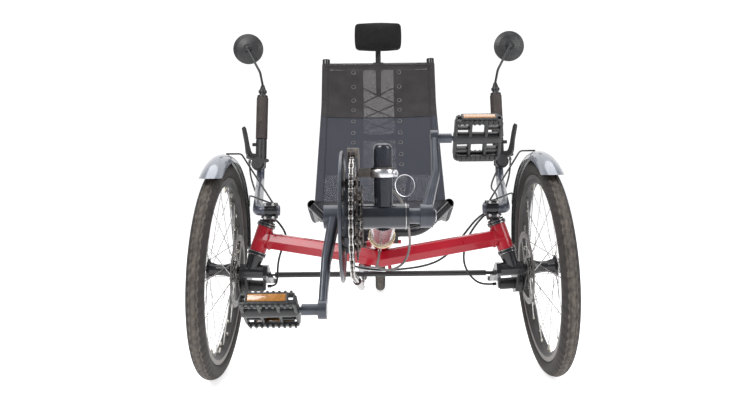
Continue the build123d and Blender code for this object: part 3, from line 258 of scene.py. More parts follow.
def fender_paint_and_painted_shade(side):
    """Silver-grey paint on the mudguard's outer face and black wire stays; the inner face is painted near
    black as painted shade.
    """
    name = "fender_paint_and_painted_shade_" + ("left" if side > 0 else "right")
    made = material(name, FENDER_BLUE_GREY, rough=0.24, metal=0.35, vary=0.1, scale=15, coat=0.8)
    tree = made.node_tree
    place = node(tree, "TexCoord").outputs

    def vector(operation, first, second=(0, 0, 0)):
        return node(tree, "VectorMath", {0: first, 1: second}, operation).outputs

    hub = (side * HALF_TRACK, FRONT_AXLE_Y, FRONT_Z)
    axle = (cos(CAMBER), 0, side * sin(CAMBER))
    from_hub = vector("SUBTRACT", place["Object"], hub)["Vector"]
    along = vector("DOT_PRODUCT", from_hub, axle)["Value"]
    reach = vector("LENGTH", from_hub)["Value"]
    facing = vector("DOT_PRODUCT", from_hub, place["Normal"])["Value"]
    # painted shade: faces turned towards the hub are painted near black; the wire stays, off the guard's
    # width and radius, are black
    dark = calc(tree, "GREATER_THAN", calc(tree, "ABSOLUTE", along), 0.0242)
    for operation, value, limit in (("LESS_THAN", reach, 0.235), ("GREATER_THAN", reach, 0.2575),
                                    ("LESS_THAN", facing, 0.0)):
        dark = calc(tree, "MAXIMUM", dark, calc(tree, operation, value, limit))
    paint = tinted(tree, dark, (0.012, 0.012, 0.013))
    tree.links.new(paint, tree.nodes["Principled BSDF"].inputs["Base Color"])
    return made


for side_name, side in SIDES:
    guard_data = nodes["front_mudguard_" + side_name].data
    guard_data.materials.clear()
    guard_data.materials.append(fender_paint_and_painted_shade(side))

# ------------------------ mesh helpers
def piece(name, verts, faces, finish, body, slot, replaces=()):
    """One finished object that rides a CAD body."""
    data = bpy.data.meshes.new(name)
    data.from_pydata([tuple(v) for v in verts], [], faces)
    data.materials.append(finish)
    repair = bmesh.new()
    repair.from_mesh(data)
    bmesh.ops.recalc_face_normals(repair, faces=repair.faces)
    repair.to_mesh(data)
    repair.free()
    data.shade_smooth()
    data.set_sharp_from_angle(angle=radians(38))
    obj = linked(name, data)
    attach(obj, body)
    if replaces:
        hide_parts(*replaces)
    return obj


class Build:
    """Collects the faces of one piece before it becomes an object."""

    def __init__(self):
        self.verts = []
        self.faces = []

    def add(self, verts, faces, matrix=None):
        base = len(self.verts)
        self.verts += [matrix @ Vector(v) if matrix else Vector(v) for v in verts]
        self.faces += [[base + i for i in face] for face in faces]

    def loops(self, rings, caps=True, around=False):
        """Joins rings of equal length; caps close both ends, around joins the last to the first."""
        size = len(rings[0])
        verts = [p for one in rings for p in one]
        faces = []
        count = len(rings) if around else len(rings) - 1
        for i in range(count):
            a, b = i * size, ((i + 1) % len(rings)) * size
            for j in range(size):
                k = (j + 1) % size
                faces.append([a + j, a + k, b + k, b + j])
        if caps and not around:
            faces.append(list(range(size))[::-1])
            faces.append([(len(rings) - 1) * size + j for j in range(size)])
        self.add(verts, faces)

    def turned(self, profile, matrix, steps=48):
        """Revolves a closed (height, radius) outline about the matrix's z."""
        rings = []
        for i in range(steps):
            turn = 2 * pi * i / steps
            rings.append([matrix @ polar(r, turn, height) for height, r in profile])
        self.loops(rings, around=True)

    def tube(self, points, radius, sides=12, caps=True, closed=False):
        """A round tube along points; radius is a number or one number per point."""
        points = [Vector(p) for p in points]
        rings, normal = [], None
        for i, point in enumerate(points):
            if closed:
                heading = points[(i + 1) % len(points)] - points[i - 1]
            else:
                heading = points[min(i + 1, len(points) - 1)] - points[max(i - 1, 0)]
            heading.normalize()
            if normal is None:
                normal = heading.orthogonal().normalized()
            normal = (normal - normal.dot(heading) * heading).normalized()
            side = heading.cross(normal)
            r = radius if isinstance(radius, float) else radius[i]
            turns = [2 * pi * j / sides for j in range(sides)]
            rings.append([point + r * (cos(a) * normal + sin(a) * side) for a in turns])
        self.loops(rings, caps=caps, around=closed)

    def block(self, matrix, size, bevel=0.0, steps=2):
        """A box about the matrix's origin, its edges rounded off."""
        lump = bmesh.new()
        bmesh.ops.create_cube(lump, size=1.0)
        for v in lump.verts:
            v.co = Vector((v.co.x * size[0], v.co.y * size[1], v.co.z * size[2]))
        if bevel:
            bmesh.ops.bevel(lump, geom=lump.edges, offset=bevel, segments=steps, affect="EDGES", profile=0.5)
        lump.verts.index_update()
        self.add([v.co for v in lump.verts], [[v.index for v in f.verts] for f in lump.faces], matrix)
        lump.free()

    def done(self, name, finish, body, slot, **more):
        return piece(name, self.verts, self.faces, finish, body, slot, **more)


def bolt(build, origin, direction, radius, height):
    """A socket-head screw: rounded head with a round socket sunk into it."""
    place = axes(origin, Vector(direction).orthogonal(), direction)
    outline = [(0, 1.0), (0.8, 1.0), (1.0, 0.85), (1.0, 0.5), (0.45, 0.5), (0.45, 0.02)]
    rings = []
    sides = [2 * pi * j / 12 for j in range(12)]
    for h, r in outline:
        rings.append([place @ Vector((radius * r * cos(a), radius * r * sin(a), height * h)) for a in sides])
    build.loops(rings, caps=True)


def arc_route(points, radii, step=0.006):
    """Straight runs joined by arcs, as short straight pieces."""
    points = [Vector(p) for p in points]
    route = [points[0]]
    for i, radius in enumerate(radii):
        corner = points[i + 1]
        into = (points[i] - corner).normalized()
        out = (points[i + 2] - corner).normalized()
        half = acos(max(-1, min(1, into.dot(out)))) / 2
        reach = radius / tan(half)
        middle = corner + (into + out).normalized() * radius / sin(half)
        start, end = corner + into * reach, corner + out * reach
        swept = pi - 2 * half
        count = max(3, int(radius * swept / step))
        a, b = start - middle, end - middle
        for j in range(count + 1):
            t = j / count
            route.append(middle + (a * sin((1 - t) * swept) + b * sin(t * swept)) / sin(swept))
    route.append(points[-1])
    return route


def even(route, step):
    """A route's points again at even steps, with the distance of each from its start."""
    spans = [(b - a).length for a, b in zip(route, route[1:])]
    total = sum(spans)
    count = max(2, round(total / step))
    result, i, done = [], 0, 0.0
    for k in range(count + 1):
        goal = total * k / count
        while i < len(spans) - 1 and done + spans[i] < goal:
            done += spans[i]
            i += 1
        share = (goal - done) / spans[i] if spans[i] else 0
        result.append(route[i].lerp(route[i + 1], min(1, share)))
    return result, total


# ------------------------ wheels


def wheel_axes(side):
    """Local frame of a wheel: z along the axle towards +X, x towards the back."""
    if not side:
        return axle_axes(REAR_AXLE)
    hub = Vector((side * HALF_TRACK, FRONT_AXLE_Y, FRONT_Z))
    return axes(hub, (0, 1, 0), (cos(CAMBER), 0, side * sin(CAMBER)))


WHEELS = (("front", "_left", 1, "wheel_left"), ("front", "_right", -1, "wheel_right"),
          ("rear", "", 0, "rear_wheel"))


def tread(turn, across):
    """Depth of the tread at a place: two zigzag grooves and slanted cuts at the shoulders."""
    pitch = 72
    phase = (turn * pitch / (2 * pi)) % 1.0
    zigzag = 0.0011 * (4 * abs(phase - 0.5) - 1)
    for line in (-0.0052, 0.0052):
        if abs(across - line - zigzag) < 0.0012:
            return -0.0018
    if abs(across) > 0.0085:
        slant = (phase + abs(across) * 60) % 1.0
        if slant < 0.3:
            return -0.0013
    return 0.0


for kind, suffix, side, body in WHEELS:
    hub = wheel_axes(side)
    tyre = Build()
    steps, rings = 432, []
    half = (4, 10, 15, 19, 22, 28, 34, 40, 46, 52, 62, 70, 80, 95, 112, 130, 148)
    angles = [radians(a) for a in [-a for a in reversed(half)] + list(half)]
    for i in range(steps):
        turn = 2 * pi * i / steps
        ring = []
        for a in angles:
            across = SECTION_R * sin(a)
            depth = tread(turn, across) if abs(a) < radians(66) else 0.0
            if 1.25 < abs(a) < 1.36:
                depth = 0.0005
            r = TYRE_R - SECTION_R + (SECTION_R + depth) * cos(a)
            ring.append(hub @ polar(r, turn, (SECTION_R + depth) * sin(a)))
        for a in reversed(angles[1:-1:3]):
            r = TYRE_R - SECTION_R + 0.0148 * cos(a)
            ring.append(hub @ polar(r, turn, 0.0148 * sin(a)))
        rings.append(ring)
    tyre.loops(rings, around=True)
    tyre_obj = tyre.done(f"{kind}_tyre_tread{suffix}", TYRE, body, "tyre", replaces=(f"{kind}_tyre{suffix}",))
    # painted light: the outer face of the tread is painted paler; the grooves and walls keep the darker
    # rubber
    tyre_obj.data.materials.append(TREAD_PAINTED_LIGHT)
    to_hub = hub.inverted()
    for face in tyre_obj.data.polygons:
        spot = to_hub @ face.center
        if abs(spot.z) < 0.0095 and spot.xy.length > 0.2343:
            face.material_index = 1

    # machined brake edges, nipples, spoke heads and valve
    edges, nipples = Build(), Build()
    for way in (-1, 1):
        x = way * 0.0124
        face_x = x + way * 0.0003
        edges.turned([(x, 0.2046), (x, 0.1945), (face_x, 0.1947), (face_x, 0.2044)], hub, 96)
    edges.done(f"{kind}_rim_edge{suffix}", DARK_STEEL, body, "rim")
    flange = 0.022 if kind == "rear" else 0.028
    for i in range(SPOKES):
        turn = 2 * pi * i / SPOKES
        lean = 1 if i % 4 < 2 else -1
        way = 1 if i % 2 else -1
        near = turn + lean * 8 * pi / SPOKES
        rim_end = hub @ polar(0.186, turn, way * 0.002)
        hub_end = hub @ polar(0.0245, near, way * flange)
        heading = (hub_end - rim_end).normalized()
        nipples.tube([rim_end + heading * along for along in (-0.001, 0.004, 0.012)],
                     [0.0026, 0.0021, 0.0017], 8)
        head = hub @ polar(0.021, near, way * (flange + 0.0018))
        axle = (hub @ Vector((0, 0, 1)) - hub.translation).normalized() * way
        nipples.tube([head + axle * out for out in (-0.0005, 0.001, 0.0015)], [0.002, 0.002, 0.001], 8)
    spot = pi / SPOKES
    foot, tip = (hub @ polar(r, spot) for r in (0.188, 0.146))
    along = (tip - foot).normalized()
    stem = [foot, foot + along * 0.004, foot + along * 0.0042, tip - along * 0.008, tip - along * 0.0078, tip]
    nipples.tube(stem, [0.005, 0.005, 0.003, 0.003, 0.0036, 0.0034], 10)
    nipples.done(f"{kind}_nipples{suffix}", BRASS, body, "spokes")

# ------------------------ chain, rings and cogs
CHAIN_X = -0.046


def pitch_radius(teeth):
    """Radius of the circle the chain's pins follow round a wheel."""
    return PITCH / (2 * sin(pi / teeth))


# centre, pitch radius, and +1 where the chain passes over it or -1 where it passes the other way
CHAIN_LINE = (
    (BB, pitch_radius(44), 1),
    (IDLER, pitch_radius(13), -1),
    (REAR_AXLE, pitch_radius(16), 1),
    (at(0, 1080, 181), pitch_radius(10), -1),
    (at(0, 1052, 128), pitch_radius(10), 1),
    (at(0, 150, 880), 0.7, 1),
)


def chain_run(first, second):
    """Both ends of the straight run between two of the chain's wheels."""
    (c1, r1, way1), (c2, r2, way2) = first, second
    dy, dz = c2.y - c1.y, c2.z - c1.z
    heading = atan2(dz, dy) - asin((way1 * r1 - way2 * r2) / hypot(dy, dz))
    normal = Vector((0, -sin(heading), cos(heading)))
    return c1 + normal * way1 * r1, c2 + normal * way2 * r2


def chain_path():
    count = len(CHAIN_LINE)
    runs = [chain_run(CHAIN_LINE[i], CHAIN_LINE[(i + 1) % count]) for i in range(count)]
    path = []
    for i, (centre, radius, way) in enumerate(CHAIN_LINE):
        arrive, leave = runs[i - 1][1] - centre, runs[i][0] - centre
        first, last = atan2(arrive.z, arrive.y), atan2(leave.z, leave.y)
        swept = (way * (first - last)) % (2 * pi)
        pieces = max(6, int(radius * swept / 0.002))
        for j in range(pieces + 1):
            turn = first - way * swept * j / pieces
            path.append(centre + Vector((0, radius * cos(turn), radius * sin(turn))))
    path.append(path[0])
    return [p + Vector((CHAIN_X, 0, 0)) for p in path]


pins = even(chain_path(), PITCH)[0][:-1]
links, rollers = Build(), Build()
link_count = len(pins)
for i in range(link_count):
    a, b = pins[i], pins[(i + 1) % link_count]
    heading = (b - a).normalized()
    up = heading.cross(Vector((1, 0, 0)))
    outer = i % 2 == 0
    for way in (-1, 1):
        x = way * (0.0029 if outer else 0.0019)
        outline = []
        for pin, first, waist in ((a, pi / 2, -0.0029), (b, -pi / 2, 0.0029)):
            for j in range(7):
                turn = first + pi * j / 6
                outline.append(pin + heading * 0.0042 * cos(turn) + up * 0.0042 * sin(turn))
            outline.append(a.lerp(b, 0.5) + up * waist)
        near, far = Vector((x - 0.0004, 0, 0)), Vector((x + 0.0004, 0, 0))
        links.loops([[p + near for p in outline], [p + far for p in outline]])
    side = Vector((1, 0, 0))
    rollers.tube([a - side * 0.0018, a + side * 0.0018], 0.0038, 10)
    rollers.tube([a - side * 0.0037, a + side * 0.0037], 0.0017, 8)
links.done("chain_plates", STEEL, "frame", "chain_steel", replaces=("chain",))
rollers.done("chain_rollers", DARK_STEEL, "frame", "chain_steel")


def toothed(build, centre, x, teeth, inner, thickness, first_turn=0.0, depth=0.0034):
    """A flat ring with pointed teeth between the chain's rollers."""
    radius = pitch_radius(teeth)
    outline = []
    for i in range(teeth):
        base = first_turn + 2 * pi * i / teeth
        step = 2 * pi / teeth
        for share, rise in ((-0.5, -0.0042), (-0.3, -0.0036), (-0.17, -0.0005), (-0.06, depth),
                            (0.06, depth), (0.17, -0.0005), (0.3, -0.0036)):
            outline.append((radius + rise, base + step * share))
    corners = [[], [], [], []]
    for r, turn in outline:
        half = thickness / 2 if r < radius else thickness * 0.22
        places = ((-half, r), (half, r), (thickness / 2, inner), (-thickness / 2, inner))
        for ring, (shift, reach) in zip(corners, places):
            ring.append(centre + Vector((x + shift, reach * cos(turn), reach * sin(turn))))
    build.loops(corners, around=True)


def mesh_turn(centre, radius_teeth):
    """Turn that puts the middle of a gap between teeth on the first roller that lies on this wheel."""
    reach = pitch_radius(radius_teeth)
    on_wheel = [p for p in pins if abs(hypot(p.y - centre.y, p.z - centre.z) - reach) < 0.0004]
    roller = on_wheel[len(on_wheel) // 2]
    return atan2(roller.z - centre.z, roller.y - centre.y) + pi / radius_teeth


rings = Build()
toothed(rings, BB, CHAIN_X, 44, 0.0445, 0.0024, mesh_turn(BB, 44))
toothed(rings, BB, CHAIN_X + 0.007, 32, 0.0315, 0.0024)
toothed(rings, BB, CHAIN_X + 0.014, 22, 0.0285, 0.0024)
ring_axes = axle_axes(BB + Vector((CHAIN_X, 0, 0)))
for i in range(5):
    turn = 2 * pi * i / 5
    spot = BB + Vector((0, 0.052 * cos(turn), 0.052 * sin(turn)))
    bolt(rings, spot + Vector((-0.058, 0, 0)), (-1, 0, 0), 0.0062, 0.003)
    rings.tube([spot + Vector((-0.058, 0, 0)), spot + Vector((-0.035, 0, 0))], 0.0052, 12)
    turn += pi / 5
    spot = BB + Vector((0, 0.036 * cos(turn), 0.036 * sin(turn)))
    rings.tube([spot + Vector((-0.039, 0, 0)), spot + Vector((-0.032, 0, 0))], 0.004, 12)
rings.done("chainring_teeth", DARK_STEEL, "crankset", "ring_alloy", replaces=("chainrings",))

guard = Build()
guard.turned([(-0.0175, 0.0445), (-0.0145, 0.0445), (-0.0145, 0.091), (-0.0128, 0.094), (-0.0128, 0.0985),
              (-0.0138, 0.100), (-0.0168, 0.100), (-0.0178, 0.0985), (-0.0178, 0.0935), (-0.0175, 0.091)],
             ring_axes, 128)
guard.done("chain_guard", CRANK, "crankset", "ring_alloy")

cogs = Build()
for teeth, x in ((12, -0.0556), (14, -0.0508), (16, -0.046), (18, -0.0412), (21, -0.0364), (24, -0.0316),
                 (28, -0.0268)):
    first = mesh_turn(REAR_AXLE, 16) if teeth == 16 else 0.0
    toothed(cogs, REAR_AXLE, x, teeth, 0.0162, 0.0018, first)
cogs.turned([(-0.059, 0.006), (-0.059, 0.0155), (-0.0575, 0.0175), (-0.026, 0.0175), (-0.026, 0.006)],
            axle_axes(REAR_AXLE), 40)
cogs.done("cassette_cogs", STEEL, "cassette", "cog_steel", replaces=("cassette",))

idler = Build()
toothed(idler, IDLER, CHAIN_X, 13, 0.0085, 0.0024, mesh_turn(IDLER, 13), depth=0.002)
idler_axes = axle_axes(IDLER + Vector((CHAIN_X, 0, 0)))
idler.turned([(-0.0045, 0.0045), (-0.0045, 0.0205), (-0.0035, 0.0215), (0.0035, 0.0215), (0.0042, 0.0205),
              (0.0042, 0.0045)], idler_axes, 40)
idler.done("idler_wheel", PLASTIC, "idler", "idler_plastic", replaces=("idler_pulley",))

# ------------------------ pedals
CRANK_DIRECTION = Vector((0, -sin(radians(40)), -cos(radians(40))))


def on_tread(x, y, z):
    """A place on the current pedal, in its own axes."""
    return tread_axes @ Matrix.Translation((x, y, z))


for suffix, side, tilt, body in (("_right", -1, 35, "pedal_right"), ("_left", 1, 55, "pedal_left")):
    spindle = BB + CRANK_DIRECTION * (-side * CRANK_LENGTH)
    middle = spindle + Vector((side * PEDAL_OUT, 0, 0))
    turn = radians(tilt)
    tread_axes = axes(middle, (1, 0, 0), (0, sin(turn), cos(turn)))
    body_part, lights, cage = Build(), Build(), Build()
    # spindle barrel, end ribs and the two toothed rails of a platform pedal
    body_part.turned([(-0.0395, 0.0046), (-0.0395, 0.0095), (-0.036, 0.0108), (0.030, 0.0098),
                      (0.0375, 0.0088), (0.0395, 0.007), (0.0395, 0.0046)],
                     axle_axes(middle), 28)
    for y in (-0.0345, 0.0345):
        for z in (-0.0065, 0.0065):
            body_part.block(on_tread(0, y, z), (0.074, 0.0085, 0.0055), 0.0018)
        for i in range(9):
            for z in (0.0098, -0.0098):
                body_part.block(on_tread(-0.032 + i * 0.008, y, z), (0.0036, 0.0075, 0.0044), 0.0008, 1)
    for x in (-0.0365, -0.013, 0.013, 0.0365):
        body_part.block(on_tread(x, 0, 0), (0.0052, 0.066, 0.0155), 0.0018)
        body_part.block(on_tread(x, 0, 0), (0.0034, 0.078, 0.0085), 0.0012)
    for x in (-0.0245, 0.0245):
        for y in (-0.020, 0.020):
            body_part.block(on_tread(x, y, 0), (0.02, 0.0032, 0.012), 0.001)
    body_part.done(f"pedal_body{suffix}", PLASTIC, body, "pedal_plastic", replaces=(f"pedal{suffix}",))
    for y in (-0.0405, 0.0405):
        lights.block(on_tread(0, y, 0), (0.052, 0.0045, 0.0108), 0.0012)
        for z in (0.0068, -0.0068):
            cage.block(on_tread(0, y * 0.995, z), (0.056, 0.0038, 0.0024), 0.0008)
        for x in (-0.0275, 0.0275):
            cage.block(on_tread(x, y * 0.995, 0), (0.0035, 0.0045, 0.015), 0.0008)
    lights.done(f"pedal_reflectors{suffix}", ORANGE, body, "pedal_plastic")
    cage.done(f"reflector_frames{suffix}", PLASTIC, body, "pedal_plastic")

# ------------------------ seat mesh
SEAT_PROFILE = ((290, 364), (415, 318), (492, 318), (768, 665), (796, 816))
SEAT_BENDS = (0.070, 0.055, 0.120)


def rail_half_width(z):
    """Half the distance between the seat's side rails at a height."""
    share = max(0.0, min(1.0, (z - 0.318) / (0.816 - 0.318)))
    return 0.180 - 0.008 * share


side_line = arc_route([at(0, y, z) for y, z in SEAT_PROFILE], SEAT_BENDS, 0.004)
side_line, seat_length = even(side_line, 0.008)
trim_ends = (0.016, 0.012)
rows = []
for i, p in enumerate(side_line):
    heading = (side_line[min(i + 1, len(side_line) - 1)] - side_line[max(i - 1, 0)]).normalized()
    front = Vector((1, 0, 0)).cross(heading)
    rows.append((p, front, seat_length * i / (len(side_line) - 1)))
rows = [row for row in rows if trim_ends[0] < row[2] < seat_length - trim_ends[1]]


def cloth_ring(p, front, share):
    """One cross line of the sling: wrapped round both rails, a little slack between them."""
    half = rail_half_width(p.z)
    wrap_r = RAIL_R + CLOTH_LIFT
    ring = []
    for j in range(9):
        turn = radians(-170 + 170 * j / 8)
        ring.append(Vector((half - wrap_r * sin(turn), 0, 0)) + p + front * wrap_r * cos(turn))
    right = [Vector((-v.x, v.y, v.z)) for v in reversed(ring)]
    sag = SAG * sin(pi * min(1, max(0, share)))
    across = []
    for j in range(1, 40):
        x = half * (1 - 2 * j / 40)
        droop = sag * (1 - (x / half) ** 2)
        across.append(Vector((x, 0, 0)) + p + front * (wrap_r - droop))
    return ring + across + right


cloth_rings = [cloth_ring(p, front, s / seat_length) for p, front, s in rows]
verts = [p for ring in cloth_rings for p in ring]
size = len(cloth_rings[0])
faces = []
for i in range(len(cloth_rings) - 1):
    for j in range(size - 1):
        a = i * size + j
        faces.append([a, a + 1, a + size + 1, a + size])
sling_obj = piece("seat_sling", verts, faces, MESH_CLOTH, "frame", "seat_mesh", replaces=("seat_fabric",))
uv = sling_obj.data.uv_layers.new(name="UVMap")
lengths = [0.0]
for a, b in zip(cloth_rings[20], cloth_rings[20][1:]):
    lengths.append(lengths[-1] + (b - a).length)
for loop in sling_obj.data.loops:
    i, j = divmod(loop.vertex_index, size)
    uv.data[loop.index].uv = (lengths[j], rows[i][2])


def cloth_point(x, s, lift=0.0):
    """A point of the sling between the rails: x across, s metres up from the front of the rails."""
    nearest = min(rows, key=lambda row: abs(row[2] - s))
    p, front, _ = nearest
    half = rail_half_width(p.z)
    sag = SAG * sin(pi * nearest[2] / seat_length)
    return Vector((x, 0, 0)) + p + front * (RAIL_R + CLOTH_LIFT - sag * (1 - (x / half) ** 2) + lift)


hems = Build()
for x in (-0.1665, 0.1665):
    hems.tube([cloth_point(x, row[2], 0.0012) for row in rows], 0.0011, 6)
for s in (0.026, 0.585, seat_length - 0.024):
    hems.tube([cloth_point(-0.172 + 0.344 * j / 30, s, 0.0008) for j in range(31)], 0.0016, 6)
hems_obj = hems.done("seat_seams", HEM, "frame", "seat_mesh")

# rear flaps, laced to each other behind the back
flaps, laces, eyelets = Build(), Build(), Build()
FLAP_EDGE = 0.050
for way in (-1, 1):
    grid = []
    for row in rows[int(len(rows) * 0.46):-2:2]:
        p, front, s = row
        half = rail_half_width(p.z)
        line = [Vector((way * (half - (half - FLAP_EDGE) * j / 8), 0, 0)) + p
                - front * (RAIL_R + 0.0016 - 0.0005 * (j % 2)) for j in range(9)]
        grid.append([q + front * 0.0007 for q in line] + [q - front * 0.0007 for q in reversed(line)])
    flaps.loops(grid)
flap_rows = [row for row in rows[int(len(rows) * 0.47):-6]][::7]
for i, (p, front, s) in enumerate(flap_rows):
    for way in (-1, 1):
        spot = p + Vector((way * (FLAP_EDGE + 0.009), 0, 0)) - front * (RAIL_R + 0.002)
        place = axes(spot, (1, 0, 0), -front)
        eyelets.turned([(-0.0022, 0.0032), (-0.0022, 0.0056), (0.0014, 0.0056), (0.0014, 0.0032)], place, 16)
    if i + 1 < len(flap_rows):
        q, front_2, _ = flap_rows[i + 1]
        for way in (-1, 1):
            start = p + Vector((way * (FLAP_EDGE + 0.009), 0, 0)) - front * (RAIL_R + 0.0045)
            end = q - Vector((way * (FLAP_EDGE + 0.009), 0, 0)) - front_2 * (RAIL_R + 0.0045)
            middle = start.lerp(end, 0.5) - front * (0.0015 + 0.0015 * way)
            laces.tube([start, middle, end], 0.0020, 6)
flaps_obj = flaps.done("seat_rear_flaps", HEM, "frame", "seat_mesh")
laces_obj = laces.done("seat_lacing", LACE, "frame", "seat_mesh")
eyelets_obj = eyelets.done("seat_grommets_rear", STEEL, "frame", "seat_mesh")

# two columns of grommets on the front
front_eyelets = Build()
for x in (-0.082, 0.067):
    for k in range(11):
        s = 0.30 + 0.045 * k
        if s > seat_length - 0.05:
            continue
        spot = cloth_point(x, s, 0.0)
        nearest = min(rows, key=lambda row: abs(row[2] - s))
        front_eyelets.turned([(0.0002, 0.0052), (0.0014, 0.0056), (0.0016, 0.0064), (0.0010, 0.0072),
                              (0.0002, 0.0074)], axes(spot, (1, 0, 0), nearest[1]), 20)
front_eyelets_obj = front_eyelets.done("seat_grommets", BRUSHED, "frame", "seat_mesh")

# ------------------------ headrest
low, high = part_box("headrest")
centre, half_size = (low + high) / 2, (high - low) / 2
shape = bmesh.new()
bmesh.ops.create_cube(shape, size=2.0)
core = half_size - Vector((0.001, 0.004, 0.001))
for v in shape.verts:
    v.co = v.co * core
bmesh.ops.bevel(shape, geom=[e for e in shape.edges if abs((e.verts[0].co - e.verts[1].co).y) > 0.01],
                offset=0.012, segments=4, affect="EDGES", profile=0.5)
pad_data = bpy.data.meshes.new("headrest_pad")
shape.to_mesh(pad_data)
shape.free()
pad_data.materials.append(FOAM_COVER)
pad = linked("headrest_pad", pad_data)
pad_data.transform(Matrix.Translation(centre))


def apply_modifiers(obj):
    """Bakes an object's modifiers into its mesh."""
    graph = bpy.context.evaluated_depsgraph_get()
    data = bpy.data.meshes.new_from_object(obj.evaluated_get(graph), depsgraph=graph)
    obj.modifiers.clear()
    obj.data = data


def inflate(obj, voxel, pressure, cap, frames=20):
    """Swells a closed shape like a stuffed cover, each point by at most cap metres."""
    remesh = obj.modifiers.new("remesh", "REMESH")
    remesh.mode = "VOXEL"
    remesh.voxel_size = voxel
    apply_modifiers(obj)
    rest = [v.co.copy() for v in obj.data.vertices]
    cloth = obj.modifiers.new("cloth", "CLOTH")
    cloth.settings.use_pressure = True
    cloth.settings.uniform_pressure_force = pressure
    cloth.settings.effector_weights.gravity = 0
    cloth.settings.quality = 6
    for number in range(1, frames + 1):
        scene.frame_set(number)
    apply_modifiers(obj)
    scene.frame_set(1)
    for v, start in zip(obj.data.vertices, rest):
        move = v.co - start
        if move.length > cap:
            v.co = start + move.normalized() * cap


inflate(pad, 0.005, 4.0, 0.006)
smooth_pad = pad.modifiers.new("smooth", "SUBSURF")
smooth_pad.levels = smooth_pad.render_levels = 1
pad.data.shade_smooth()
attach(pad, "headrest")
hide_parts("headrest")

# ------------------------ headset, stems and hand controls
KINGPIN_LEAN, CASTER = radians(18.6), radians(10)
BAR_TOP, BAR_CORNER = at(333, 470, 662), at(336, 425, 425)
GRIP_UP = (BAR_TOP - BAR_CORNER).normalized()


def sided(v, side):
    """A left-hand point or direction, mirrored for the right-hand side."""
    return Vector((v[0] * side, v[1], v[2]))


for suffix, side in (("_left", 1), ("_right", -1)):
    steer = "steer" + suffix
    kingpin_up = Vector((-side * tan(KINGPIN_LEAN), tan(CASTER), 1)).normalized()
    kingpin_foot = at(side * 289, 0, 237)
    pin = axes(kingpin_foot, (1, 0, 0), kingpin_up)

    # thin bright lines round the headset, and weld beads on the head tube
    lines = Build()
    for h in (0.0335, 0.0405, 0.1005, 0.1065):
        lines.turned([(h, 0.0203), (h + 0.0002, 0.0208), (h + 0.0009, 0.0208), (h + 0.0011, 0.0203)], pin, 48)
    lines.done(f"headset_lines{suffix}", STEEL, "frame", "black_alloy")

    # screws of the four-bolt faceplate and of the steerer clamp
    screws = Build()
    clamp = at(side * 242, -15, 368)
    for x in (-0.0085, 0.0085):
        for z in (-0.014, 0.014):
            bolt(screws, clamp + Vector((x, -0.0198, z)), (0, -1, 0), 0.0034, 0.0032)
    for h in (0.121, 0.143):
        start = kingpin_foot + kingpin_up * h + Vector((0, 0.0172, 0))
        bolt(screws, start, (0, 1, 0), 0.0034, 0.004)
    screws.done(f"stem_bolts{suffix}", STEEL, steer, "black_alloy")

    face = Build()
    for z in (-0.014, 0.014):
        spot = clamp + Vector((-side * 0.0005, -0.016, z))
        face.block(axes(spot, (1, 0, 0), (0, 0, 1)), (0.026, 0.0065, 0.0085), 0.002)
    face.done(f"stem_faceplate{suffix}", BLACK_GLOSS, steer, "black_alloy")

    # mirror glass on the rider's side
    glass = Build()
    mirror_axes = axes(at(side * 371, 474.2, 800), (1, 0, 0), (0, 1, 0))
    glass.turned([(0.0, 0.001), (0.0008, 0.001), (0.0002, 0.0385), (-0.0004, 0.0395), (-0.0004, 0.001)],
                 mirror_axes, 48)
    glass.done(f"mirror_glass{suffix}", MIRROR_GLASS, "mirror" + suffix, "mirror_shell")

    # axle end cap and nut, and the crown nut of the tie rod's stud
    hub = wheel_axes(side)
    cap = Build()
    outline = ((0.0402, 0.001), (0.0402, 0.0105), (0.0412, 0.0115), (0.0432, 0.0112), (0.0442, 0.0095),
               (0.0442, 0.005), (0.0425, 0.0045), (0.0425, 0.001))
    cap.turned([(side * x, r) for x, r in outline], hub, 32)
    cap.done(f"axle_cap{suffix}", BLACK_GLOSS, steer, "black_steel")
    axle_rings = Build()
    for x, r in ((0.0345, 0.0157), (-0.0335, 0.0215), (-0.0268, 0.0243), (0.0268, 0.0243)):
        near, far, inner, outer = side * x, side * (x + 0.0008), r - 0.001, r + 0.0004
        axle_rings.turned([(near, inner), (near, outer), (far, outer), (far, inner)], hub, 40)
    axle_rings.done(f"hub_rings{suffix}", STEEL, "wheel" + suffix, "black_alloy")

    # bright rod end round the tie rod's ball
    ball = at(side * 271, 100, 209)
    stud_up = Vector((-side * 0.2918, 0.0554, 0.9549)).normalized()
    stud_axes = axes(ball, (0, 1, 0), stud_up)
    rod_body = "tie_rod" if side > 0 else "tie_rod_end"
    eye = Build()
    eye.turned([(-0.0046, 0.0088), (-0.0048, 0.0096), (0.0048, 0.0096), (0.0046, 0.0088)], stud_axes, 32)
    eye.done(f"rod_end_eye{suffix}", ALLOY, rod_body, "tie_rod_steel")
    nut = Build()
    corners = [radians(60 * j) for j in range(6)]
    nut.loops([[stud_axes @ polar(r, a, h) for a in corners]
               for h, r in ((-0.0125, 0.0045), (-0.0122, 0.006), (-0.0092, 0.006), (-0.0091, 0.0045))])
    nut.done(f"stud_nut{suffix}", BLACK_GLOSS, steer, "black_steel")


def weld(build, centre, normal, x_dir, radius_x, radius_y, bead=0.0022, count=40):
    """A rippled bead laid round a joint between two tubes."""
    place = axes(centre, x_dir, normal)
    points, radii = [], []
    for j in range(count * 3):
        turn = 2 * pi * j / (count * 3)
        points.append(place @ Vector((radius_x * cos(turn), radius_y * sin(turn), 0)))
        radii.append(bead * (1 + 0.22 * (j % 3 == 0)))
    build.tube(points, radii, 8, closed=True)


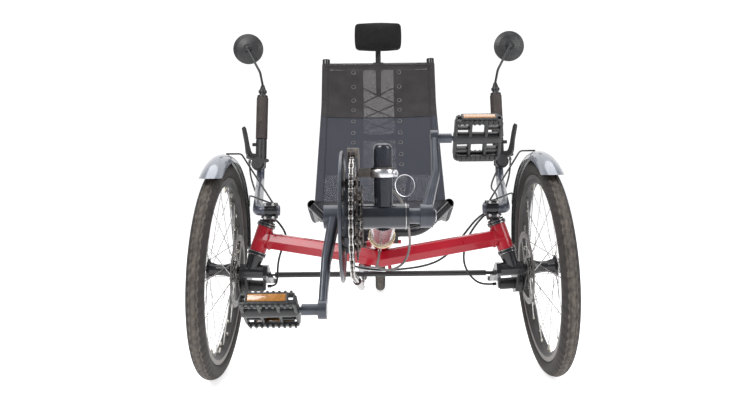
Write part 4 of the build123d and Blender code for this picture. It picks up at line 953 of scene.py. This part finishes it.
beads = Build()
arm_start = at(0, -40, 264)
for side in (1, -1):
    kingpin_up = Vector((-side * tan(KINGPIN_LEAN), tan(CASTER), 1)).normalized()
    head_middle = at(side * 289, 0, 237) + kingpin_up * 0.070
    along = (head_middle - arm_start).normalized()
    weld(beads, head_middle - along * 0.0205, along, (0, 0, 1), 0.0182, 0.0176)
beads.done("arm_weld_beads", RED, "frame", "frame_red")

# cream ring of bare metal at the open mouth of the main tube, behind the boom
collar = Build()
tube_axes = axes(at(0, -124, 322), (1, 0, 0), (0, 1, -0.18))
collar.turned([(-0.0006, 0.0226), (-0.0012, 0.0236), (-0.0012, 0.0258), (-0.0004, 0.0269), (0.0008, 0.0271),
               (0.0008, 0.0226)], tube_axes, 64)
collar.done("main_tube_mouth_ring", CREAM_RING, "frame", "frame_red")
sleeve = Build()
sleeve.turned([(-0.060, 0.0223), (-0.060, 0.0226), (-0.0005, 0.0226), (-0.0005, 0.0223)], tube_axes, 64)
sleeve.done("boom_polished_part", STEEL, "frame", "boom_alloy")

# silver band and pull wire of the front derailleur
band = Build()
post_axes = axes(at(0, -478, 0), (1, 0, 0), (0, 0, 1))
band.turned([(0.4452, 0.0186), (0.4448, 0.0192), (0.4455, 0.0197), (0.4560, 0.0197), (0.4567, 0.0192),
             (0.4563, 0.0186)], post_axes, 64)
bolt(band, at(17, -486, 450.5), (0.6, -1, 0), 0.0048, 0.005)
band.block(axes(at(17, -481, 450.5), (0.6, -1, 0), (0, 0, 1)), (0.012, 0.007, 0.011), 0.002)
band.done("derailleur_band", ALLOY, "frame", "derailleur_alloy")
wire = Build()
loop_axes = axes(at(33, -484, 432), (1, 0, 0), (0.25, -1, 0.1))
turns = [2 * pi * j / 40 for j in range(40)]
wire.tube([loop_axes @ Vector((0.0152 * cos(a), 0.0165 * sin(a), 0.001 * sin(2 * a))) for a in turns],
          0.0006, 6, closed=True)
wire.done("derailleur_wire_loop", ALLOY, "frame", "derailleur_alloy")

# a cap on the left crank's bolt and rings on the bottom bracket
caps = Build()
left_hub = BB + Vector((0.0781, 0, 0))
crank_axes = axle_axes(left_hub)
caps.turned([(0, 0.001), (0, 0.0088), (0.0012, 0.0092), (0.0022, 0.0082), (0.0022, 0.0045), (0.0008, 0.0042),
             (0.0008, 0.001)], crank_axes, 32)
caps.done("crank_bolt_cap", ALLOY, "crankset", "crank_alloy")
bb_rings = Build()
bb_axes = axle_axes(BB)
for x in (-0.0345, 0.0337):
    bb_rings.turned([(x, 0.0197), (x, 0.0204), (x + 0.0008, 0.0204), (x + 0.0008, 0.0197)], bb_axes, 48)
bb_rings.done("bottom_bracket_rings", STEEL, "frame", "boom_alloy")

# ------------------------ control cables
CONTROLS = at(333, 470, 662) - GRIP_UP * 0.122
controls_left = axes(CONTROLS, (1, 0, 0), GRIP_UP)
across_dir = controls_left.col[0].to_3d()
rear_dir = controls_left.col[1].to_3d()
reach_dir = (across_dir - rear_dir).normalized()
perch_exit = CONTROLS + reach_dir * 0.038 - GRIP_UP * 0.0645
perch_bend = CONTROLS + reach_dir * 0.038 - GRIP_UP * 0.100
pod_exit = CONTROLS - across_dir * 0.0055 - rear_dir * 0.0205 - GRIP_UP * 0.092
pod_bend = CONTROLS - across_dir * 0.019 - rear_dir * 0.0205 - GRIP_UP * 0.116


def run(*points):
    """A stretch of a cable's route, in millimetres."""
    return [at(*p) for p in points]


BRAKE_RUN = run((338, 350, 397), (314, 250, 388), (302, 160, 376), (286, 90, 362))
LEFT_BRAKE = [perch_exit, perch_bend, *BRAKE_RUN] + run(
    (243, 58, 358), (202, 54, 310), (187, 56, 265), (190, 60, 229), (211, 60, 198), (236, 60, 187),
    (263, 56, 190))
RIGHT_BRAKE = [sided(p, -1) for p in (perch_exit, perch_bend, *BRAKE_RUN)] + run(
    (-243, 58, 348), (-213, 58, 304), (-232, 64, 270), (-240, 64, 236), (-240, 62, 204), (-246, 59, 189),
    (-263, 56, 190))
REAR_SHIFT = [pod_exit, pod_bend] + run(
    (300, 368, 400), (303, 300, 391), (294, 220, 378), (280, 130, 362), (226, 76, 346), (186, 60, 300),
    (155, 44, 262), (108, 36, 236), (20, 36, 226), (-30, 38, 229), (-68, 46, 236), (-66, 110, 236),
    (-62, 170, 228), (-36, 260, 216), (-20, 340, 213), (-20, 700, 213), (-58, 820, 206), (-92, 960, 204),
    (-100, 1060, 200), (-97, 1110, 190), (-82, 1120, 172))
FRONT_SHIFT = run(
    (-14, -440, 438), (20, -428, 425), (40, -370, 385), (50, -230, 345), (56, -160, 305), (46, -138, 266),
    (16, -132, 250), (-12, -140, 258), (-7, -134, 276), (-5, -113, 290.8), (-5, -104.4, 289.27))


def cable(name, route, finish, radius=0.0024):
    """A cable whose line is a smooth spline with the route as its control points, as a mesh."""
    curve = bpy.data.curves.new(name, "CURVE")
    curve.dimensions = "3D"
    curve.bevel_depth = radius
    curve.bevel_resolution = 4
    curve.use_fill_caps = True
    spline = curve.splines.new("NURBS")
    spline.points.add(len(route) - 1)
    for point, place in zip(spline.points, route):
        point.co = (*place, 1)
    spline.order_u = 3
    spline.use_endpoint_u = True
    spline.resolution_u = 10
    curve.materials.append(finish)
    line = bpy.data.objects.new(name + "_line", curve)
    data = bpy.data.meshes.new_from_object(line)
    bpy.data.objects.remove(line)
    data.name = name
    data.shade_smooth()
    return linked(name, data)


# The rear shift cable is two pieces that meet half way between two of its route's points, where the
# spline passes through with the same tangent: the back one rides the frame, the front one is tied to no body.
FIRST_HELD = 11
join = REAR_SHIFT[FIRST_HELD - 1].lerp(REAR_SHIFT[FIRST_HELD], 0.5)
for name, route, finish, body in (
    ("brake_cable_left", LEFT_BRAKE, HOUSING, "steer_left"),
    ("brake_cable_right", RIGHT_BRAKE, HOUSING, "steer_right"),
    ("rear_shift_cable_bending", REAR_SHIFT[:FIRST_HELD] + [join], HOUSING, None),
    ("rear_shift_cable_held", [join] + REAR_SHIFT[FIRST_HELD:], HOUSING, "frame"),
    ("front_shift_cable", FRONT_SHIFT, GREY_HOUSING, "frame"),
):
    obj = cable(name, route, finish)
    if body:
        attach(obj, body)
    else:
        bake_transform(obj)
    if name == "front_shift_cable":
        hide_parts("cables")

ferrules = {"steer_left": Build(), "steer_right": Build(), "frame": Build()}
for body, route in (("steer_left", LEFT_BRAKE), ("steer_right", RIGHT_BRAKE), ("frame", FRONT_SHIFT)):
    for end, before in ((route[0], route[1]), (route[-1], route[-2])):
        heading = (before - end).normalized()
        ferrules[body].tube([end + heading * along for along in (0, 0.001, 0.009, 0.0095)],
                            [0.0031, 0.0036, 0.0036, 0.0028], 12)
for body, build in ferrules.items():
    build.done(f"cable_ferrules_{body}", ALLOY if body == "frame" else BLACK_GLOSS, body, "cable_housing")

# ------------------------ camera and light
camera_data = bpy.data.cameras.new("camera")
camera = linked("camera", camera_data)
scene.camera = camera
camera_data.lens = 33.49
camera_data.clip_end = 50
view = Matrix.Translation(at(-9.4, -1535, 460.4))
for degrees, about in ((0.157, "Z"), (90 - 2.7, "X"), (-0.63, "Z")):
    view = view @ Matrix.Rotation(radians(degrees), 4, about)
camera.matrix_world = view

world = bpy.data.worlds.new("studio")
scene.world = world
world.use_nodes = True
# white behind the trike, dim where its front faces look
sky = world.node_tree
toward = node(sky, "SeparateXYZ", {"Vector": node(sky, "TexCoord").outputs["Generated"]})
fade = node(sky, "ValToRGB", {"Fac": toward.outputs["Y"]})
for stop, position, color in zip(fade.color_ramp.elements, (0.35, 0.7),
                                 ((0.3, 0.31, 0.33), (1.1, 1.1, 1.1))):
    stop.position = position
    stop.color = (*color, 1)
sky.links.new(fade.outputs["Color"], sky.nodes["Background"].inputs["Color"])
scene.view_settings.view_transform = "Standard"


def area_light(name, place, target, size, power):
    data = bpy.data.lights.new(name, "AREA")
    data.shape = "RECTANGLE"
    data.size, data.size_y = size
    data.energy = power
    lamp = linked(name, data)
    lamp.location = place
    lamp.rotation_euler = (Vector(target) - Vector(place)).to_track_quat("-Z", "Y").to_euler()


area_light("key", (-1.6, -2.2, 2.6), (0, 0, 0.4), (1.6, 1.6), 70)
area_light("fill", (2.2, -1.6, 1.6), (0, 0, 0.4), (1.2, 1.8), 35)
area_light("top", (0, 0.2, 3.0), (0, 0, 0.3), (2.5, 2.5), 50)

floor_data = bpy.data.meshes.new("floor")
floor_data.from_pydata([(-30, -30, 0), (30, -30, 0), (30, 30, 0), (-30, 30, 0)], [], [(0, 1, 2, 3)])
floor_data.materials.append(FLOOR)
floor = linked("floor", floor_data)
